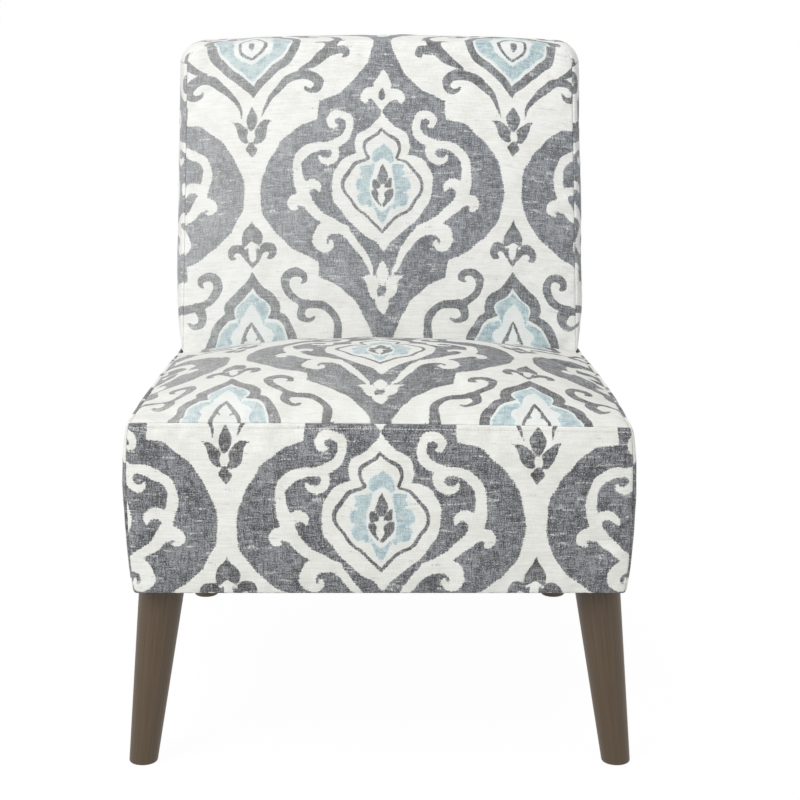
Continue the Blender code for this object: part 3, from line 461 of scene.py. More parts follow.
def ramp(value, start, run, power=1.0):
    """Rises from 0 at start to 1 where the run ends."""
    return np.clip((value - start) / run, 0, 1) ** power


def half_width(y):
    return lerp(SEAT_WIDTH_FRONT, BACK_WIDTH_BASE, y / BODY_DEPTH) / 2


def seam_z(y):
    return FRONT_SEAM_Z - SEAM_DROP * ramp(y, 0, BACK_SEAM_Y, 1.5)


def crown(y):
    front = FRONT_SEAM_Z + CROWN_FRONT_RISE * (1 - (1 - y / CROWN_PEAK_Y) ** 3)
    fall = CROWN_REAR_FALL * ((y - CROWN_PEAK_Y) / (BACK_SEAM_Y - CROWN_PEAK_Y)) ** 2
    rear = FRONT_SEAM_Z + CROWN_FRONT_RISE - fall
    return np.where(y < CROWN_PEAK_Y, front, rear) - seam_z(y)


def swell(share):
    place = np.clip(share, 0, 1) ** 1.3
    return np.sqrt(np.clip(4 * place * (1 - place), 0, None))


def plump(share, sharpness=0.6):
    return np.clip(4 * share * (1 - share), 0, None) ** sharpness


def back_share(z, base=BACK_BASE_Z):
    """Share of a height between a base and the back's top seam."""
    return ramp(z, base, BACK_TOP_SEAM_Z - base)


def back_half_width(z):
    return lerp(BACK_WIDTH_BASE, BACK_WIDTH_TOP, back_share(z)) / 2


def corner_cut(z):
    above = np.clip(z - BACK_CORNER_Z, 0, BACK_CORNER_R)
    return BACK_CORNER_R - np.sqrt(BACK_CORNER_R ** 2 - above ** 2)


def back_seam_y(z):
    return BACK_SEAM_Y + (z - BACK_BASE_Z) * BACK_RECLINE


def back_face_y(across, z):
    share = (z - FOAM_BASE_Z) / (BACK_TOP_SEAM_Z - FOAM_BASE_Z)
    puff = (1 - np.abs(across) ** 3.5) * (1 - np.abs(2 * share - 1) ** 3)
    return back_seam_y(z) - BACK_PUFF * np.clip(puff, 0, None)


def rear_y(z):
    above = z - REAR_BEND_Z
    return BODY_DEPTH + (above + np.hypot(above, REAR_BEND_BLEND)) / 2 * REAR_RECLINE


def rear_face_y(across, z):
    return rear_y(z) + REAR_PUFF * plump((across + 1) / 2) * plump(back_share(z, UNDERSIDE_Z))


def seat_tilt(across, share):
    """The front seam is sewn a little higher on its left than on its right."""
    return (TILT_MIDDLE - TILT_SLOPE * across - TILT_BEND * across ** 2) * share


# Grids and meshes

def fine_shares(length, spacing, high_edge=True, stitched=False):
    """Shares of a length from 0 to 1, close together at seams and at a stitch line."""
    high = [length - step for step in reversed(SEAM_STEPS)] if high_edge else [length]
    count = max(int(round((high[0] - SEAM_STEPS[-1]) / spacing)), 1)
    inner = list(np.linspace(SEAM_STEPS[-1], high[0], count + 1))[1:-1]
    if stitched:
        place = length - STITCH_BELOW
        inner = [step for step in inner if abs(step - place) > 0.0016]
        inner += [place + offset for offset in (-0.0012, -0.0006, 0, 0.0006, 0.0012)]
    return np.array(sorted(SEAM_STEPS + inner + high)) / length


def fine_widths(width, spacing):
    return fine_shares(width, spacing) * 2 - 1


def soft_noise(u, v, length, height, seed):
    """Smooth waves of about this length and height, seven of them in as many directions."""
    total = np.zeros_like(u)
    local = np.random.default_rng(seed)
    for _ in range(7):
        turn = local.uniform(0, 2 * math.pi)
        size = length * local.uniform(0.6, 1.7)
        phase = local.uniform(0, 2 * math.pi)
        total += np.sin((u * math.cos(turn) + v * math.sin(turn)) * 2 * math.pi / size + phase)
    return total / 3.2 * height


def line_lengths(line):
    """Lengths along a line of points, from its first one."""
    return np.concatenate([[0], np.cumsum(np.linalg.norm(np.diff(line, axis=0), axis=1))])


def middle_run(points):
    """Millimetres up the middle column of a grid, one for each of its rows."""
    return line_lengths(points[:, points.shape[1] // 2])[:, None] * 1000


def edge_distances(points):
    """Distances of each grid point from the four edges, measured along the grid."""
    rows = np.linalg.norm(np.diff(points, axis=1), axis=2)
    columns = np.linalg.norm(np.diff(points, axis=0), axis=2)
    from_left = np.concatenate([np.zeros((len(points), 1)), np.cumsum(rows, axis=1)], axis=1)
    from_low = np.concatenate([np.zeros((1, points.shape[1])), np.cumsum(columns, axis=0)], axis=0)
    return {"left": from_left, "right": from_left[:, -1:] - from_left,
            "low": from_low, "high": from_low[-1:] - from_low}


def grid_normals(points):
    normal = np.cross(np.gradient(points, axis=1), np.gradient(points, axis=0))
    return normal / np.maximum(np.linalg.norm(normal, axis=2, keepdims=True), 1e-12)


def rim_of(points):
    """Outer rim of a grid, once round."""
    return np.concatenate([points[0, :], points[1:, -1], points[-1, -2::-1], points[-2:0:-1, 0]])


def grid_faces(index):
    return np.stack([index[:-1, :-1], index[:-1, 1:], index[1:, 1:], index[1:, :-1]], axis=2).reshape(-1, 4)


def add_object(name, data):
    """New object in the scene with this mesh, camera or lamp."""
    made = bpy.data.objects.new(name, data)
    bpy.context.scene.collection.objects.link(made)
    return made


def add_mesh(name, vertices, faces, finish=None):
    mesh = bpy.data.meshes.new(name)
    mesh.from_pydata(vertices, [], faces)
    if finish:
        mesh.materials.append(finish)
    return add_object(name, mesh)


def add_attribute(mesh, name, kind, values):
    layer = mesh.attributes.new(name, kind, "POINT")
    layer.data.foreach_set("value" if kind == "FLOAT" else "vector", np.array(values, np.float32).ravel())


def build_piece(name, points, inner_loop, inner_centre, cloth, values, stitches, finish):
    """Closed mesh: a dense outer grid, walls to an inner loop and a fan that closes it."""
    index = np.arange(points.shape[0] * points.shape[1]).reshape(points.shape[:2])
    rim = rim_of(index)
    inner = index.size + np.arange(len(rim))
    centre = np.full(len(rim), index.size + len(rim))
    quads = grid_faces(index)
    walls = np.stack([rim, inner, np.roll(inner, -1), np.roll(rim, -1)], axis=1)
    fan = np.stack([inner, centre, np.roll(inner, -1)], axis=1)
    vertices = np.concatenate([points.reshape(-1, 3), inner_loop, np.array(inner_centre)[None]])
    vertices[:, 1] += SHIFT
    piece = add_mesh(name, vertices.tolist(), quads.tolist() + walls.tolist() + fan.tolist(), finish)
    mesh = piece.data
    mesh.polygons.foreach_set("use_smooth", np.arange(len(mesh.polygons)) < len(quads))
    inside = np.zeros((len(rim) + 1, 3))
    add_attribute(mesh, "cloth", "FLOAT_VECTOR", np.concatenate([cloth.reshape(-1, 3), inside]))
    add_attribute(mesh, "print", "FLOAT_VECTOR", np.concatenate([values.reshape(-1, 3), inside + FAR_PRINT]))
    add_attribute(mesh, "stitch", "FLOAT", np.concatenate([stitches.ravel(), inside[:, 0] + FAR_STITCH]))
    return piece


def bilinear(values, row, column):
    """Values of a grid at fractional rows and columns."""
    r0 = np.clip(row.astype(int), 0, values.shape[0] - 2)
    c0 = np.clip(column.astype(int), 0, values.shape[1] - 2)
    fr = (row - r0)[:, None, None]
    fc = (column - c0)[None, :, None]
    near = values[r0][:, c0] * (1 - fc) + values[r0][:, c0 + 1] * fc
    far = values[r0 + 1][:, c0] * (1 - fc) + values[r0 + 1][:, c0 + 1] * fc
    return near * (1 - fr) + far * fr


def settled(points):
    """How far each point moves when the panel, held at its seams, is simulated as cloth over its padding."""
    rows, columns = points.shape[:2]
    down = line_lengths(points[:, columns // 2])
    across = line_lengths(points[rows // 2])
    n_down = int(down[-1] / CLOTH_SPACING) + 1
    n_across = int(across[-1] / CLOTH_SPACING) + 1
    row = np.interp(np.linspace(0, down[-1], n_down), down, np.arange(rows))
    column = np.interp(np.linspace(0, across[-1], n_across), across, np.arange(columns))
    coarse = bilinear(points, row, column)
    index = np.arange(n_down * n_across).reshape(n_down, n_across)
    sheet = add_mesh("settling", coarse.reshape(-1, 3).tolist(), grid_faces(index).tolist())
    sheet.vertex_groups.new(name="seam").add(np.unique(rim_of(index)).tolist(), 1.0, "REPLACE")
    cloth = sheet.modifiers.new("cloth", "CLOTH")
    for key, value in CLOTH_SETTINGS.items():
        setattr(cloth.settings, key, value)
    cloth.settings.effector_weights.gravity = 0
    cloth.point_cache.frame_start = 1
    cloth.point_cache.frame_end = SETTLE_FRAMES
    for number in range(1, SETTLE_FRAMES + 1):
        bpy.context.scene.frame_set(number)
    final = sheet.evaluated_get(bpy.context.evaluated_depsgraph_get()).data
    where = np.empty(len(final.vertices) * 3)
    final.vertices.foreach_get("co", where)
    moved = where.reshape(coarse.shape) - coarse
    bpy.data.meshes.remove(sheet.data)
    bpy.context.scene.frame_set(1)
    size = np.linalg.norm(moved, axis=2, keepdims=True)
    moved *= SETTLED_MOST * np.tanh(size / SETTLED_MOST) / np.maximum(size, 1e-9)
    return bilinear(moved, down / down[-1] * (n_down - 1), across / across[-1] * (n_across - 1))


def seam(x, y, z, pull=SEWN):
    """How a seam draws a panel in: along a diagonal, with the depth and reach of its pull."""
    return (x * HALF, y * HALF, z * HALF), *pull


def side_seams(side):
    """Front, rear and lower seams of a side band, whose grid runs to the rear on the right side only."""
    return {WORDS[-side]: seam(-side, 1, 0), WORDS[side]: seam(-side, -1, 0),
            "low": seam(-side, 0, 1, STAPLED)}


def finish_panel(name, points, seams, inner, u, phase, finish, seed, stitched=False, settle=False,
                 centre=None):
    """Draws a panel in at its seams, adds slight unevenness, and builds it with its print.

    inner turns coordinates of the panel's rim into those of its inner side.
    """
    if settle:
        share = ramp(np.minimum.reduce(list(edge_distances(points).values())), 0, SETTLE_MARGIN)
        share = share * share * (3 - 2 * share)
        start = points - SETTLED_RISE * grid_normals(points) * share[..., None]
        points = start + settled(start)
    distances = edge_distances(points)
    normals = grid_normals(points)
    u, phase = np.broadcast_arrays(u, phase)
    v = phase / UNITS_PER_MM
    free = ramp(np.minimum.reduce(list(distances.values())), 0, WAVE_MARGIN)
    waves = soft_noise(u, v, *BROAD_WAVES, seed) + soft_noise(u, v, *FINE_WAVES, seed + 1)
    moved = points + normals * (waves * free)[..., None]
    for edge, (direction, depth, reach) in seams.items():
        run = u if edge in ("low", "high") else v
        short, long = (run * 2 * math.pi / pitch for pitch in PUCKER_PITCHES)
        pucker = 1 + PUCKER * np.sin(short + seed) * np.sin(long)
        share = depth * np.clip(1 - distances[edge] / reach, 0, 1) ** 2 * pucker
        moved = moved + np.array(direction) * share[..., None]
    stitches = np.full_like(u, FAR_STITCH)
    if stitched:
        stitches = (distances["high"] - STITCH_BELOW) * 1000
        beat = 0.35 - 0.25 * np.cos(u * 2 * math.pi / STITCH_PITCH)
        moved = moved - normals * (np.exp(-(stitches / 0.9) ** 2) * beat * STITCH_GROOVE)[..., None]
    field, motif, blue, wash = print_values(u, phase)
    loop = np.stack(np.broadcast_arrays(*inner(*rim_of(moved).T)), axis=1)
    if centre is None:
        centre = loop.mean(axis=0)
    cloth = np.stack([u, v, wash], axis=2)
    values = np.stack([field, motif, blue], axis=2)
    return build_piece(name, moved, loop, centre, cloth, values, stitches, finish)


def inset_heights(z, top):
    """Heights from the underside to a top seam, brought a little inside both."""
    return lerp(UNDERSIDE_Z + LOW_INSET, top - HIGH_INSET, (z - UNDERSIDE_Z) / (top - UNDERSIDE_Z))


# Panels of the seat

def build_seat_top(finish):
    depths = fine_shares(BACK_SEAM_Y, SPACING, high_edge=False)
    a, b = np.meshgrid(fine_widths(SEAT_WIDTH_FRONT, SPACING), depths)
    y = lerp(SEAM_GAP, back_face_y(a, BACK_BASE_Z) - CREVICE_GAP, b)
    x = a * (half_width(y) - SEAM_GAP)
    z = seam_z(y) + crown(y) * (1 - np.abs(a) ** 2.7) + seat_tilt(a, np.clip(1 - b * 3, 0, 1))
    points = np.stack([x, y, z], axis=2)
    run = middle_run(points)
    middle_drift = MIDDLE_DRIFT * ramp(run, *MIDDLE_DRIFT_RUN, 0.8)
    side_drift = SIDE_DRIFT_FRONT + SIDE_DRIFT * (1 - np.exp(-run / SIDE_DRIFT_RUN))
    side_drift = side_drift * np.where(a < 0, 1.0, RIGHT_DRIFT_SHARE)
    drift = lerp(middle_drift, side_drift, ramp(np.abs(a), 0, 0.6, 1.5))

    def inner(x, y, z):
        inset = 0.0065
        y = np.clip(y, inset, None)
        rake = ramp(y, 0.40, 0.08) * ((BACK_BASE_Z - FOAM_BASE_Z) * BACK_RECLINE + 0.002)
        return x * (SEAT_WIDTH_FRONT / 2 - inset) / (SEAT_WIDTH_FRONT / 2), y - rake, FOAM_BASE_Z + 0.0004

    seams = {"low": seam(0, 1, -1), "left": seam(1, 0, -1), "right": seam(-1, 0, -1),
             "high": ((0, 0, -1), 0.0060, 0.020)}
    return finish_panel("seat_top_panel", points, seams, inner, x * 1000 - SEAT_OFFSET,
                        SEAT_PHASE - run * UNITS_PER_MM + drift, finish, 3, settle=True)


def build_seat_front(finish):
    ups = fine_shares(BAND_HEIGHT, SPACING, stitched=True)
    a, c = np.meshgrid(fine_widths(SEAT_WIDTH_FRONT, SPACING), ups)
    x = a * (half_width(0) - SEAM_GAP + CORNER_BULGE * swell(c))
    y = -FRONT_BULGE * swell(c) * plump((a + 1) / 2)
    z = lerp(UNDERSIDE_Z, FRONT_SEAM_Z - SEAM_GAP + seat_tilt(a, 1.0), c)

    def inner(x, y, z):
        return x * 0.990, PADDING_FACE, inset_heights(z, FRONT_SEAM_Z)

    seams = {"high": seam(0, 1, -1), "left": seam(1, 1, 0), "right": seam(-1, 1, 0),
             "low": seam(0, 1, 1, STAPLED)}
    phase = BAND_PHASE + (1 - c) * BAND_HEIGHT * 1000 * UNITS_PER_MM
    return finish_panel("seat_front_band", np.stack([x, y, z], axis=2), seams, inner, x * 1000 - BAND_OFFSET,
                        phase, finish, 11, stitched=True, settle=True)


def build_seat_side(side, finish):
    alongs = fine_shares(BODY_DEPTH, WIDE_SPACING)
    b, c = np.meshgrid(alongs[::side], fine_shares(BAND_HEIGHT, WIDE_SPACING, stitched=True))
    y = lerp(SEAM_GAP, BODY_DEPTH - SEAM_GAP, b)
    out = CORNER_BULGE * (1 - b) + SIDE_BULGE * plump(b, SIDE_SHARPNESS)
    x = side * (half_width(y) + out * swell(c))
    z = lerp(UNDERSIDE_Z, seam_z(y) - SEAM_GAP + seat_tilt(side, np.clip(1 - 2.6 * b, 0, 1)), c)

    def inner(x, y, z):
        inset_y = lerp(EDGE_INSET, BODY_DEPTH - EDGE_INSET, y / BODY_DEPTH)
        return side * (half_width(y) - PADDING_FACE), inset_y, inset_heights(z, seam_z(inset_y))

    seams = {"high": seam(-side, 0, -1), **side_seams(side)}
    u = side * (SIDE_PRINT_START - y * 1000)
    phase = BAND_PHASE + (FRONT_SEAM_Z - z) * 1000 * UNITS_PER_MM
    return finish_panel("seat_side_band_" + WORDS[side], np.stack([x, y, z], axis=2), seams, inner, u, phase,
                        finish, 20 + side, stitched=True)


# Panels of the back

def back_grid(low_z, spacing, place_y, turned=1):
    """Shares across and points of a back panel, its rows closer round the top corners."""
    straight = lerp(low_z, BACK_CORNER_Z, np.linspace(0, 1, int((BACK_CORNER_Z - low_z) / spacing) + 1))
    turns = np.linspace(0, math.pi / 2, CORNER_STEPS)[1:]
    heights = np.concatenate([straight, BACK_CORNER_Z + BACK_CORNER_R * np.sin(turns)])
    a, z = np.meshgrid(fine_widths(BACK_WIDTH_BASE, spacing)[::turned], heights)
    share = back_share(z)
    x = a * (back_half_width(z) - SEAM_GAP - corner_cut(z))
    rise = BACK_ARCH * (1 - a ** 2) * np.clip(share, 0, None) ** 6
    return a, np.stack([x, place_y(a, z), z + rise - SEAM_GAP * share ** 24], axis=2)


def build_back_front(finish):
    a, points = back_grid(FOAM_BASE_Z + 0.012, SPACING, back_face_y)
    run = middle_run(points)
    below = run[-1] - run
    u = points[..., 0] * 1000 - BACK_OFFSET
    near_corner = ramp(np.abs(u), *CORNER_PULL_RUN) * np.exp(-(below / CORNER_PULL_DEPTH) ** 2)
    u = u + np.sign(u) * np.where(a < 0, *CORNER_PULLS) * near_corner
    droop = np.where(a < 0, *DROOPS) * ramp(np.abs(u), *DROOP_RUN, 1.5)

    def inner(x, y, z):
        z = lerp(FOAM_BASE_Z + 0.0006, POST_TOP_Z, back_share(z, FOAM_BASE_Z))
        return x * 0.925, rear_y(z) - REAR_STACK - POST_DEPTH - 0.0025, z

    seams = {"high": seam(0, 1, -1), "left": seam(1, 1, 0), "right": seam(-1, 1, 0)}
    phase = BACK_PHASE + below * UNITS_PER_MM - BACK_RISE * ramp(below, 0, BACK_RISE_RUN) - droop
    return finish_panel("back_front_panel", points, seams, inner, u, phase, finish, 31, settle=True)


def build_back_rear(finish):
    points = back_grid(UNDERSIDE_Z, WIDE_SPACING, rear_face_y, turned=-1)[1]
    run = middle_run(points)
    thickness = COVER_T + 0.0024

    def inner(x, y, z):
        z = inset_heights(z, BACK_TOP_SEAM_Z)
        return x * 0.985, np.minimum(y - thickness, rear_y(z) - COVER_T), z

    seams = {"high": seam(0, -1, -1), "left": seam(-1, -1, 0), "right": seam(1, -1, 0),
             "low": seam(0, -1, 1, STAPLED)}
    return finish_panel("back_rear_panel", points, seams, inner, -points[..., 0] * 1000,
                        BACK_PHASE + (run[-1] - run) * UNITS_PER_MM, finish, 41,
                        centre=(0.0, BODY_DEPTH - thickness, REAR_BEND_Z))


def build_back_side(side, finish):
    height = BACK_CORNER_Z - BACK_BASE_Z
    ups = fine_shares(height - SEAM_GAP, SPACING, high_edge=False)
    heights = lerp(BACK_BASE_Z + SEAM_GAP, BACK_CORNER_Z, ups)
    v, z = np.meshgrid(fine_shares(BACK_DEPTH, SPACING)[::side], heights)
    y = lerp(back_seam_y(z) + SEAM_GAP, rear_y(z) - SEAM_GAP, v)
    rise = ramp((z - BACK_BASE_Z) / height, 0, 0.15, 0.5)
    x = side * (back_half_width(z) + BACK_SIDE_BULGE * plump(v) * rise)

    def inner(x, y, z):
        z = lerp(BACK_BASE_Z + 0.002, BACK_CORNER_Z - 0.002, (z - BACK_BASE_Z) / height)
        y = np.clip(y, back_seam_y(z) + EDGE_INSET, rear_y(z) - EDGE_INSET)
        return side * (back_half_width(z) - PADDING_FACE), y, z

    u = side * (BACK_SIDE_START + v * BACK_SIDE_RUN) - BACK_OFFSET
    phase = BACK_PHASE + (BACK_CORNER_Z + BACK_SIDE_TOP - z) * 1000 * UNITS_PER_MM
    return finish_panel("back_side_band_" + WORDS[side], np.stack([x, y, z], axis=2), side_seams(side), inner,
                        u, phase, finish, 50 + side)


def build_back_top(finish):
    """Band over the top edge, where p is -1 to 1, and over its rounded corners, where it goes on to 2."""
    straight = BACK_WIDTH_TOP / 2 - BACK_CORNER_R
    turns = np.linspace(-2, -1, CORNER_STEPS)[:-1]
    places = np.concatenate([turns, np.linspace(-1, 1, int(2 * straight / SPACING) + 1), -turns[::-1]])
    p, v = np.meshgrid(places, fine_shares(BACK_DEPTH, SPACING))
    flat = np.abs(p) <= 1
    slope = np.where(flat, -2 * BACK_ARCH * p / straight, 0)
    size = np.hypot(slope, 1)
    turn = np.where(flat, math.pi / 2, math.pi / 2 * (2 - np.abs(p)))
    sign = np.sign(p)
    seam_x = np.where(flat, p * straight, sign * (straight + BACK_CORNER_R * np.cos(turn)))
    seam_height = np.where(flat, BACK_TOP_SEAM_Z + BACK_ARCH * (1 - p ** 2),
                           BACK_CORNER_Z + BACK_CORNER_R * np.sin(turn))
    out_x = np.where(flat, -slope / size, sign * np.cos(turn))
    out_z = np.where(flat, 1 / size, np.sin(turn))
    level = np.minimum(seam_height, BACK_TOP_SEAM_Z)
    y = lerp(back_seam_y(level) + SEAM_GAP, rear_y(level) - SEAM_GAP, v)
    out = lerp(BACK_TOP_BULGE, BACK_SIDE_BULGE, ramp(np.abs(p), 1, 1)) * plump(v)
    points = np.stack([seam_x + out * out_x, y, seam_height + out * out_z], axis=2)
    corner_run = (np.abs(p) - 1) * BACK_CORNER_R * math.pi / 2
    u = np.where(flat, p * straight, sign * (straight + corner_run)) * 1000 - BACK_OFFSET

    def inner(x, y, z):
        inset = 0.006
        z = np.clip(z - 0.005, POST_TOP_Z + 0.001, BACK_TOP_SEAM_Z - inset)
        return x * 0.972, np.clip(y, back_seam_y(z) + inset, rear_y(z) - inset), z

    toward_rear = np.stack([-out_x, np.ones_like(p), -out_z], axis=2) * HALF
    seams = {"low": (toward_rear, *SEWN), "high": (toward_rear * (1, -1, 1), *SEWN)}
    phase = BACK_PHASE - v * BACK_SIDE_RUN * UNITS_PER_MM
    return finish_panel("back_top_band", points, seams, inner, u, phase, finish, 61)


# Materials

class Nodes:
    """Short way to wire the nodes of a material or a world."""

    def __init__(self, owner):
        owner.use_nodes = True
        self.owner = owner
        self.tree = owner.node_tree

    def add(self, kind, **settings):
        node = self.tree.nodes.new(kind)
        for key, value in settings.items():
            setattr(node, key, value)
        return node

    def link(self, value, socket):
        if hasattr(value, "is_linked"):
            self.tree.links.new(value, socket)
        else:
            socket.default_value = value

    def made(self, kind, inputs, **settings):
        """First output of a new node, with its inputs given by name or in order."""
        node = self.add(kind, **settings)
        for key, value in inputs.items() if isinstance(inputs, dict) else enumerate(inputs):
            self.link(value, node.inputs[key])
        return node.outputs[0]

    def surfaced(self, values):
        """Sets inputs of the material's surface shader and returns the material."""
        for key, value in values.items():
            self.link(value, self.tree.nodes["Principled BSDF"].inputs[key])
        return self.owner

    def math(self, operation, *values):
        return self.made("ShaderNodeMath", values, operation=operation)

    def times(self, a, b):
        return self.math("MULTIPLY", a, b)

    def plus(self, *values, operation="ADD"):
        total = values[0]
        for value in values[1:]:
            total = self.math(operation, total, value)
        return total

    def most(self, *values):
        return self.plus(*values, operation="MAXIMUM")

    def centred(self, value, weight):
        return self.times(self.math("SUBTRACT", value, 0.5), weight)

    def attribute(self, name):
        node = self.add("ShaderNodeAttribute", attribute_name=name)
        split = self.add("ShaderNodeSeparateXYZ")
        self.tree.links.new(node.outputs["Vector"], split.inputs[0])
        return split.outputs

    def noise(self, place, detail=2.0, roughness=0.5, scale=1.0):
        inputs = {"Vector": place, "Scale": scale, "Detail": detail, "Roughness": roughness}
        return self.made("ShaderNodeTexNoise", inputs)

    def stretched(self, u, v, u_scale, v_scale, seed, detail=2.0, roughness=0.6):
        """Noise drawn out along u or v by their scales."""
        place = self.made("ShaderNodeCombineXYZ", (self.times(u, u_scale), self.times(v, v_scale), seed))
        return self.noise(place, detail, roughness)

    def step(self, value, low, high):
        """Smooth step from 0 at low to 1 at high."""
        inputs = {"Value": value, "From Min": low, "From Max": high}
        return self.made("ShaderNodeMapRange", inputs, interpolation_type="SMOOTHSTEP")

    def mix(self, share, first, second):
        node = self.add("ShaderNodeMix", data_type="RGBA")
        self.link(share, node.inputs[0])
        for value, socket in ((first, node.inputs[6]), (second, node.inputs[7])):
            self.link(value if hasattr(value, "is_linked") else (*value, 1.0), socket)
        return node.outputs[2]

    def bump(self, height, strength, distance):
        return self.made("ShaderNodeBump", {"Strength": strength, "Distance": distance, "Height": height})

    def seen_or(self, shader, glow, share, output):
        """Shows glow, by a share, to rays from the camera, mirrors and glass, and the shader to all else."""
        rays = self.add("ShaderNodeLightPath").outputs
        seen = self.most(rays["Is Camera Ray"], rays["Is Glossy Ray"], rays["Is Transmission Ray"])
        mixed = self.made("ShaderNodeMixShader", (self.times(seen, share), shader, glow))
        self.tree.links.new(mixed, self.tree.nodes[output].inputs["Surface"])


def printed_linen(name, slate, slate_light, ivory, weft_wear, warp_wear, speckle, painted_left_glare):
    """Slubby linen-look cloth with the distressed print of the mesh's print values, made paler towards the
    left by painted light, a painted glare.
    """
    n = Nodes(bpy.data.materials.new(name))
    u, v, wash = n.attribute("cloth")
    field, motif, blue = n.attribute("print")

    def threads(across, along, seed, detail=2.0):
        """Noise whose features have these sizes in millimetres along the width and along the length."""
        return n.stretched(u, v, 1 / across, 1 / along, seed, detail)

    def inked(distance, wander, soft):
        return n.math("SUBTRACT", 1.0, n.step(n.plus(distance, wander), -soft, soft))

    def combed(seed, patch_low, patch_high):
        """Short rows of missing threads, as where slubs took no ink."""
        patch = n.step(threads(26.0, 5.0, seed, 1.0), patch_low, patch_high)
        return n.times(patch, n.step(threads(1.3, 7.0, seed + 1.0), 0.44, 0.58))

    def scratched(value, low=0.62):
        return n.step(value, low, low + 0.14)

    # Cloth and the wander of the print's edges
    weft = threads(12.0, 1.2, 0.0)
    warp = threads(1.2, 10.0, 7.0)
    grain = threads(1.25, 1.25, 3.0)
    blotch = threads(9.0, 7.0, 19.0)
    cloud = threads(34.0, 34.0, 5.0)
    rough = n.centred(threads(2.4, 1.7, 11.0), 1.0)
    ragged = n.plus(n.times(rough, 4.8), n.centred(weft, 2.4), n.centred(warp, 2.4))

    # Wear
    worn = n.plus(n.centred(threads(4.5, 36.0, 13.0), 1.5), n.centred(threads(34.0, 3.4, 17.0), 1.1),
                  n.centred(weft, weft_wear), n.centred(warp, warp_wear), n.centred(grain, speckle),
                  n.centred(cloud, 1.8), n.centred(blotch, 1.7))
    bare = n.most(combed(23.0, 0.60, 0.68), n.times(scratched(weft), 0.36), n.times(scratched(warp), 0.50),
                  n.times(n.step(threads(1.4, 1.4, 29.0), 0.58, 0.68), 0.9))
    ghost = n.most(n.times(combed(37.0, 0.64, 0.74), 0.42),
                   n.times(scratched(threads(30.0, 1.6, 41.0), 0.58), 0.12),
                   n.times(scratched(threads(1.4, 9.0, 43.0), 0.62), 0.09))
    fade = n.plus(n.centred(weft, 0.9), n.centred(warp, 0.8), n.centred(grain, 0.7), n.centred(cloud, 0.9),
                  n.centred(threads(40.0, 3.0, 47.0), 1.0))
    blue_tone = n.plus(worn, n.centred(threads(14.0, 9.0, 53.0), 3.0))
    greener = n.step(n.plus(n.centred(blotch, 1.0), n.centred(cloud, 1.4)), -0.25, 0.30)

    # Inks
    shaded = tuple(share * value for share, value in zip((0.88, 0.875, 0.85), ivory))
    cream = n.mix(n.step(fade, -0.34, 0.28), shaded, ivory)
    cream = n.mix(ghost, cream, slate_light)
    slate_ink = n.mix(n.step(worn, -0.80, 0.95), slate, slate_light)
    slate_ink = n.mix(n.times(bare, 0.62), slate_ink, ivory)
    dark_ink = tuple(shade * warmth for shade, warmth in zip(slate, (0.98, 0.93, 0.84)))
    dark_ink = n.mix(n.step(worn, -0.75, 1.10), dark_ink, slate_light)
    dark_ink = n.mix(n.times(bare, 0.45), dark_ink, ivory)
    blue_ink = n.mix(n.step(blue_tone, -0.95, 0.95), (0.255, 0.375, 0.430), (0.625, 0.720, 0.735))
    blue_ink = n.mix(n.times(greener, 0.45), blue_ink, (0.440, 0.570, 0.560))
    blue_ink = n.mix(n.times(bare, 0.45), blue_ink, ivory)

    # Print over the cloth, then painted light: paler towards the left, a painted glare on the side of the key
    # lamp
    colour = n.mix(n.times(inked(wash, ragged, 1.2), 0.34), cream, (0.770, 0.830, 0.830))
    blue_edge = n.math("SUBTRACT", blue, 2.0)
    colour = n.mix(n.times(inked(blue_edge, ragged, 1.4), 0.50), colour, (0.740, 0.835, 0.840))
    colour = n.mix(n.times(inked(blue, ragged, 0.8), 0.88), colour, blue_ink)
    colour = n.mix(inked(field, ragged, 0.55), colour, slate_ink)
    colour = n.mix(inked(motif, n.times(ragged, 0.45), 0.55), colour, dark_ink)
    # Painted light: towards the left the cloth is mixed towards ivory, a painted glare
    colour = n.mix(n.times(n.step(u, 120.0, -275.0), painted_left_glare), colour, ivory)

    # Stitches and weave
    off_line = n.math("ABSOLUTE", n.add("ShaderNodeAttribute", attribute_name="stitch").outputs["Fac"])
    on_line = n.math("SUBTRACT", 1.0, n.step(off_line, 0.35, 0.65))
    beat = n.math("SINE", n.times(u, 2 * math.pi / STITCH_PITCH))
    thread = n.times(on_line, n.step(beat, -0.75, -0.35))
    colour = n.mix(n.times(thread, 0.85), colour, (0.70, 0.70, 0.68))
    waves = [n.math("SINE", n.times(place, 2 * math.pi / WEAVE_PITCH)) for place in (u, v)]
    weave = n.times(n.times(*waves), 0.30)
    height = n.plus(n.plus(weave, n.plus(weft, warp)), n.times(thread, 0.8))
    return n.surfaced({"Base Color": colour, "Normal": n.bump(height, 0.60, 0.00050), "Roughness": 0.92,
                       "Specular IOR Level": 0.25, "Sheen Weight": 0.12, "Sheen Roughness": 0.5})


def mottled(name, dark, light, scale, roughness, stretch=(1, 1, 1), metallic=0.0):
    """Procedural finish from stretched noise in object space, for wood, foam, felt and metal."""
    n = Nodes(bpy.data.materials.new(name))
    place = n.add("ShaderNodeTexCoord").outputs["Object"]
    mapped = n.made("ShaderNodeMapping", {"Vector": place, "Scale": stretch})
    coarse = n.noise(mapped, 5.0, 0.6, scale)
    fine = n.noise(mapped, 2.0, 0.5, scale * 5)
    both = n.plus(n.times(coarse, 0.7), n.times(fine, 0.3))
    return n.surfaced({"Base Color": n.mix(n.step(both, 0.30, 0.70), dark, light),
                       "Roughness": n.plus(roughness - 0.08, n.times(fine, 0.16)),
                       "Metallic": metallic, "Normal": n.bump(both, 0.2, 0.0005)})


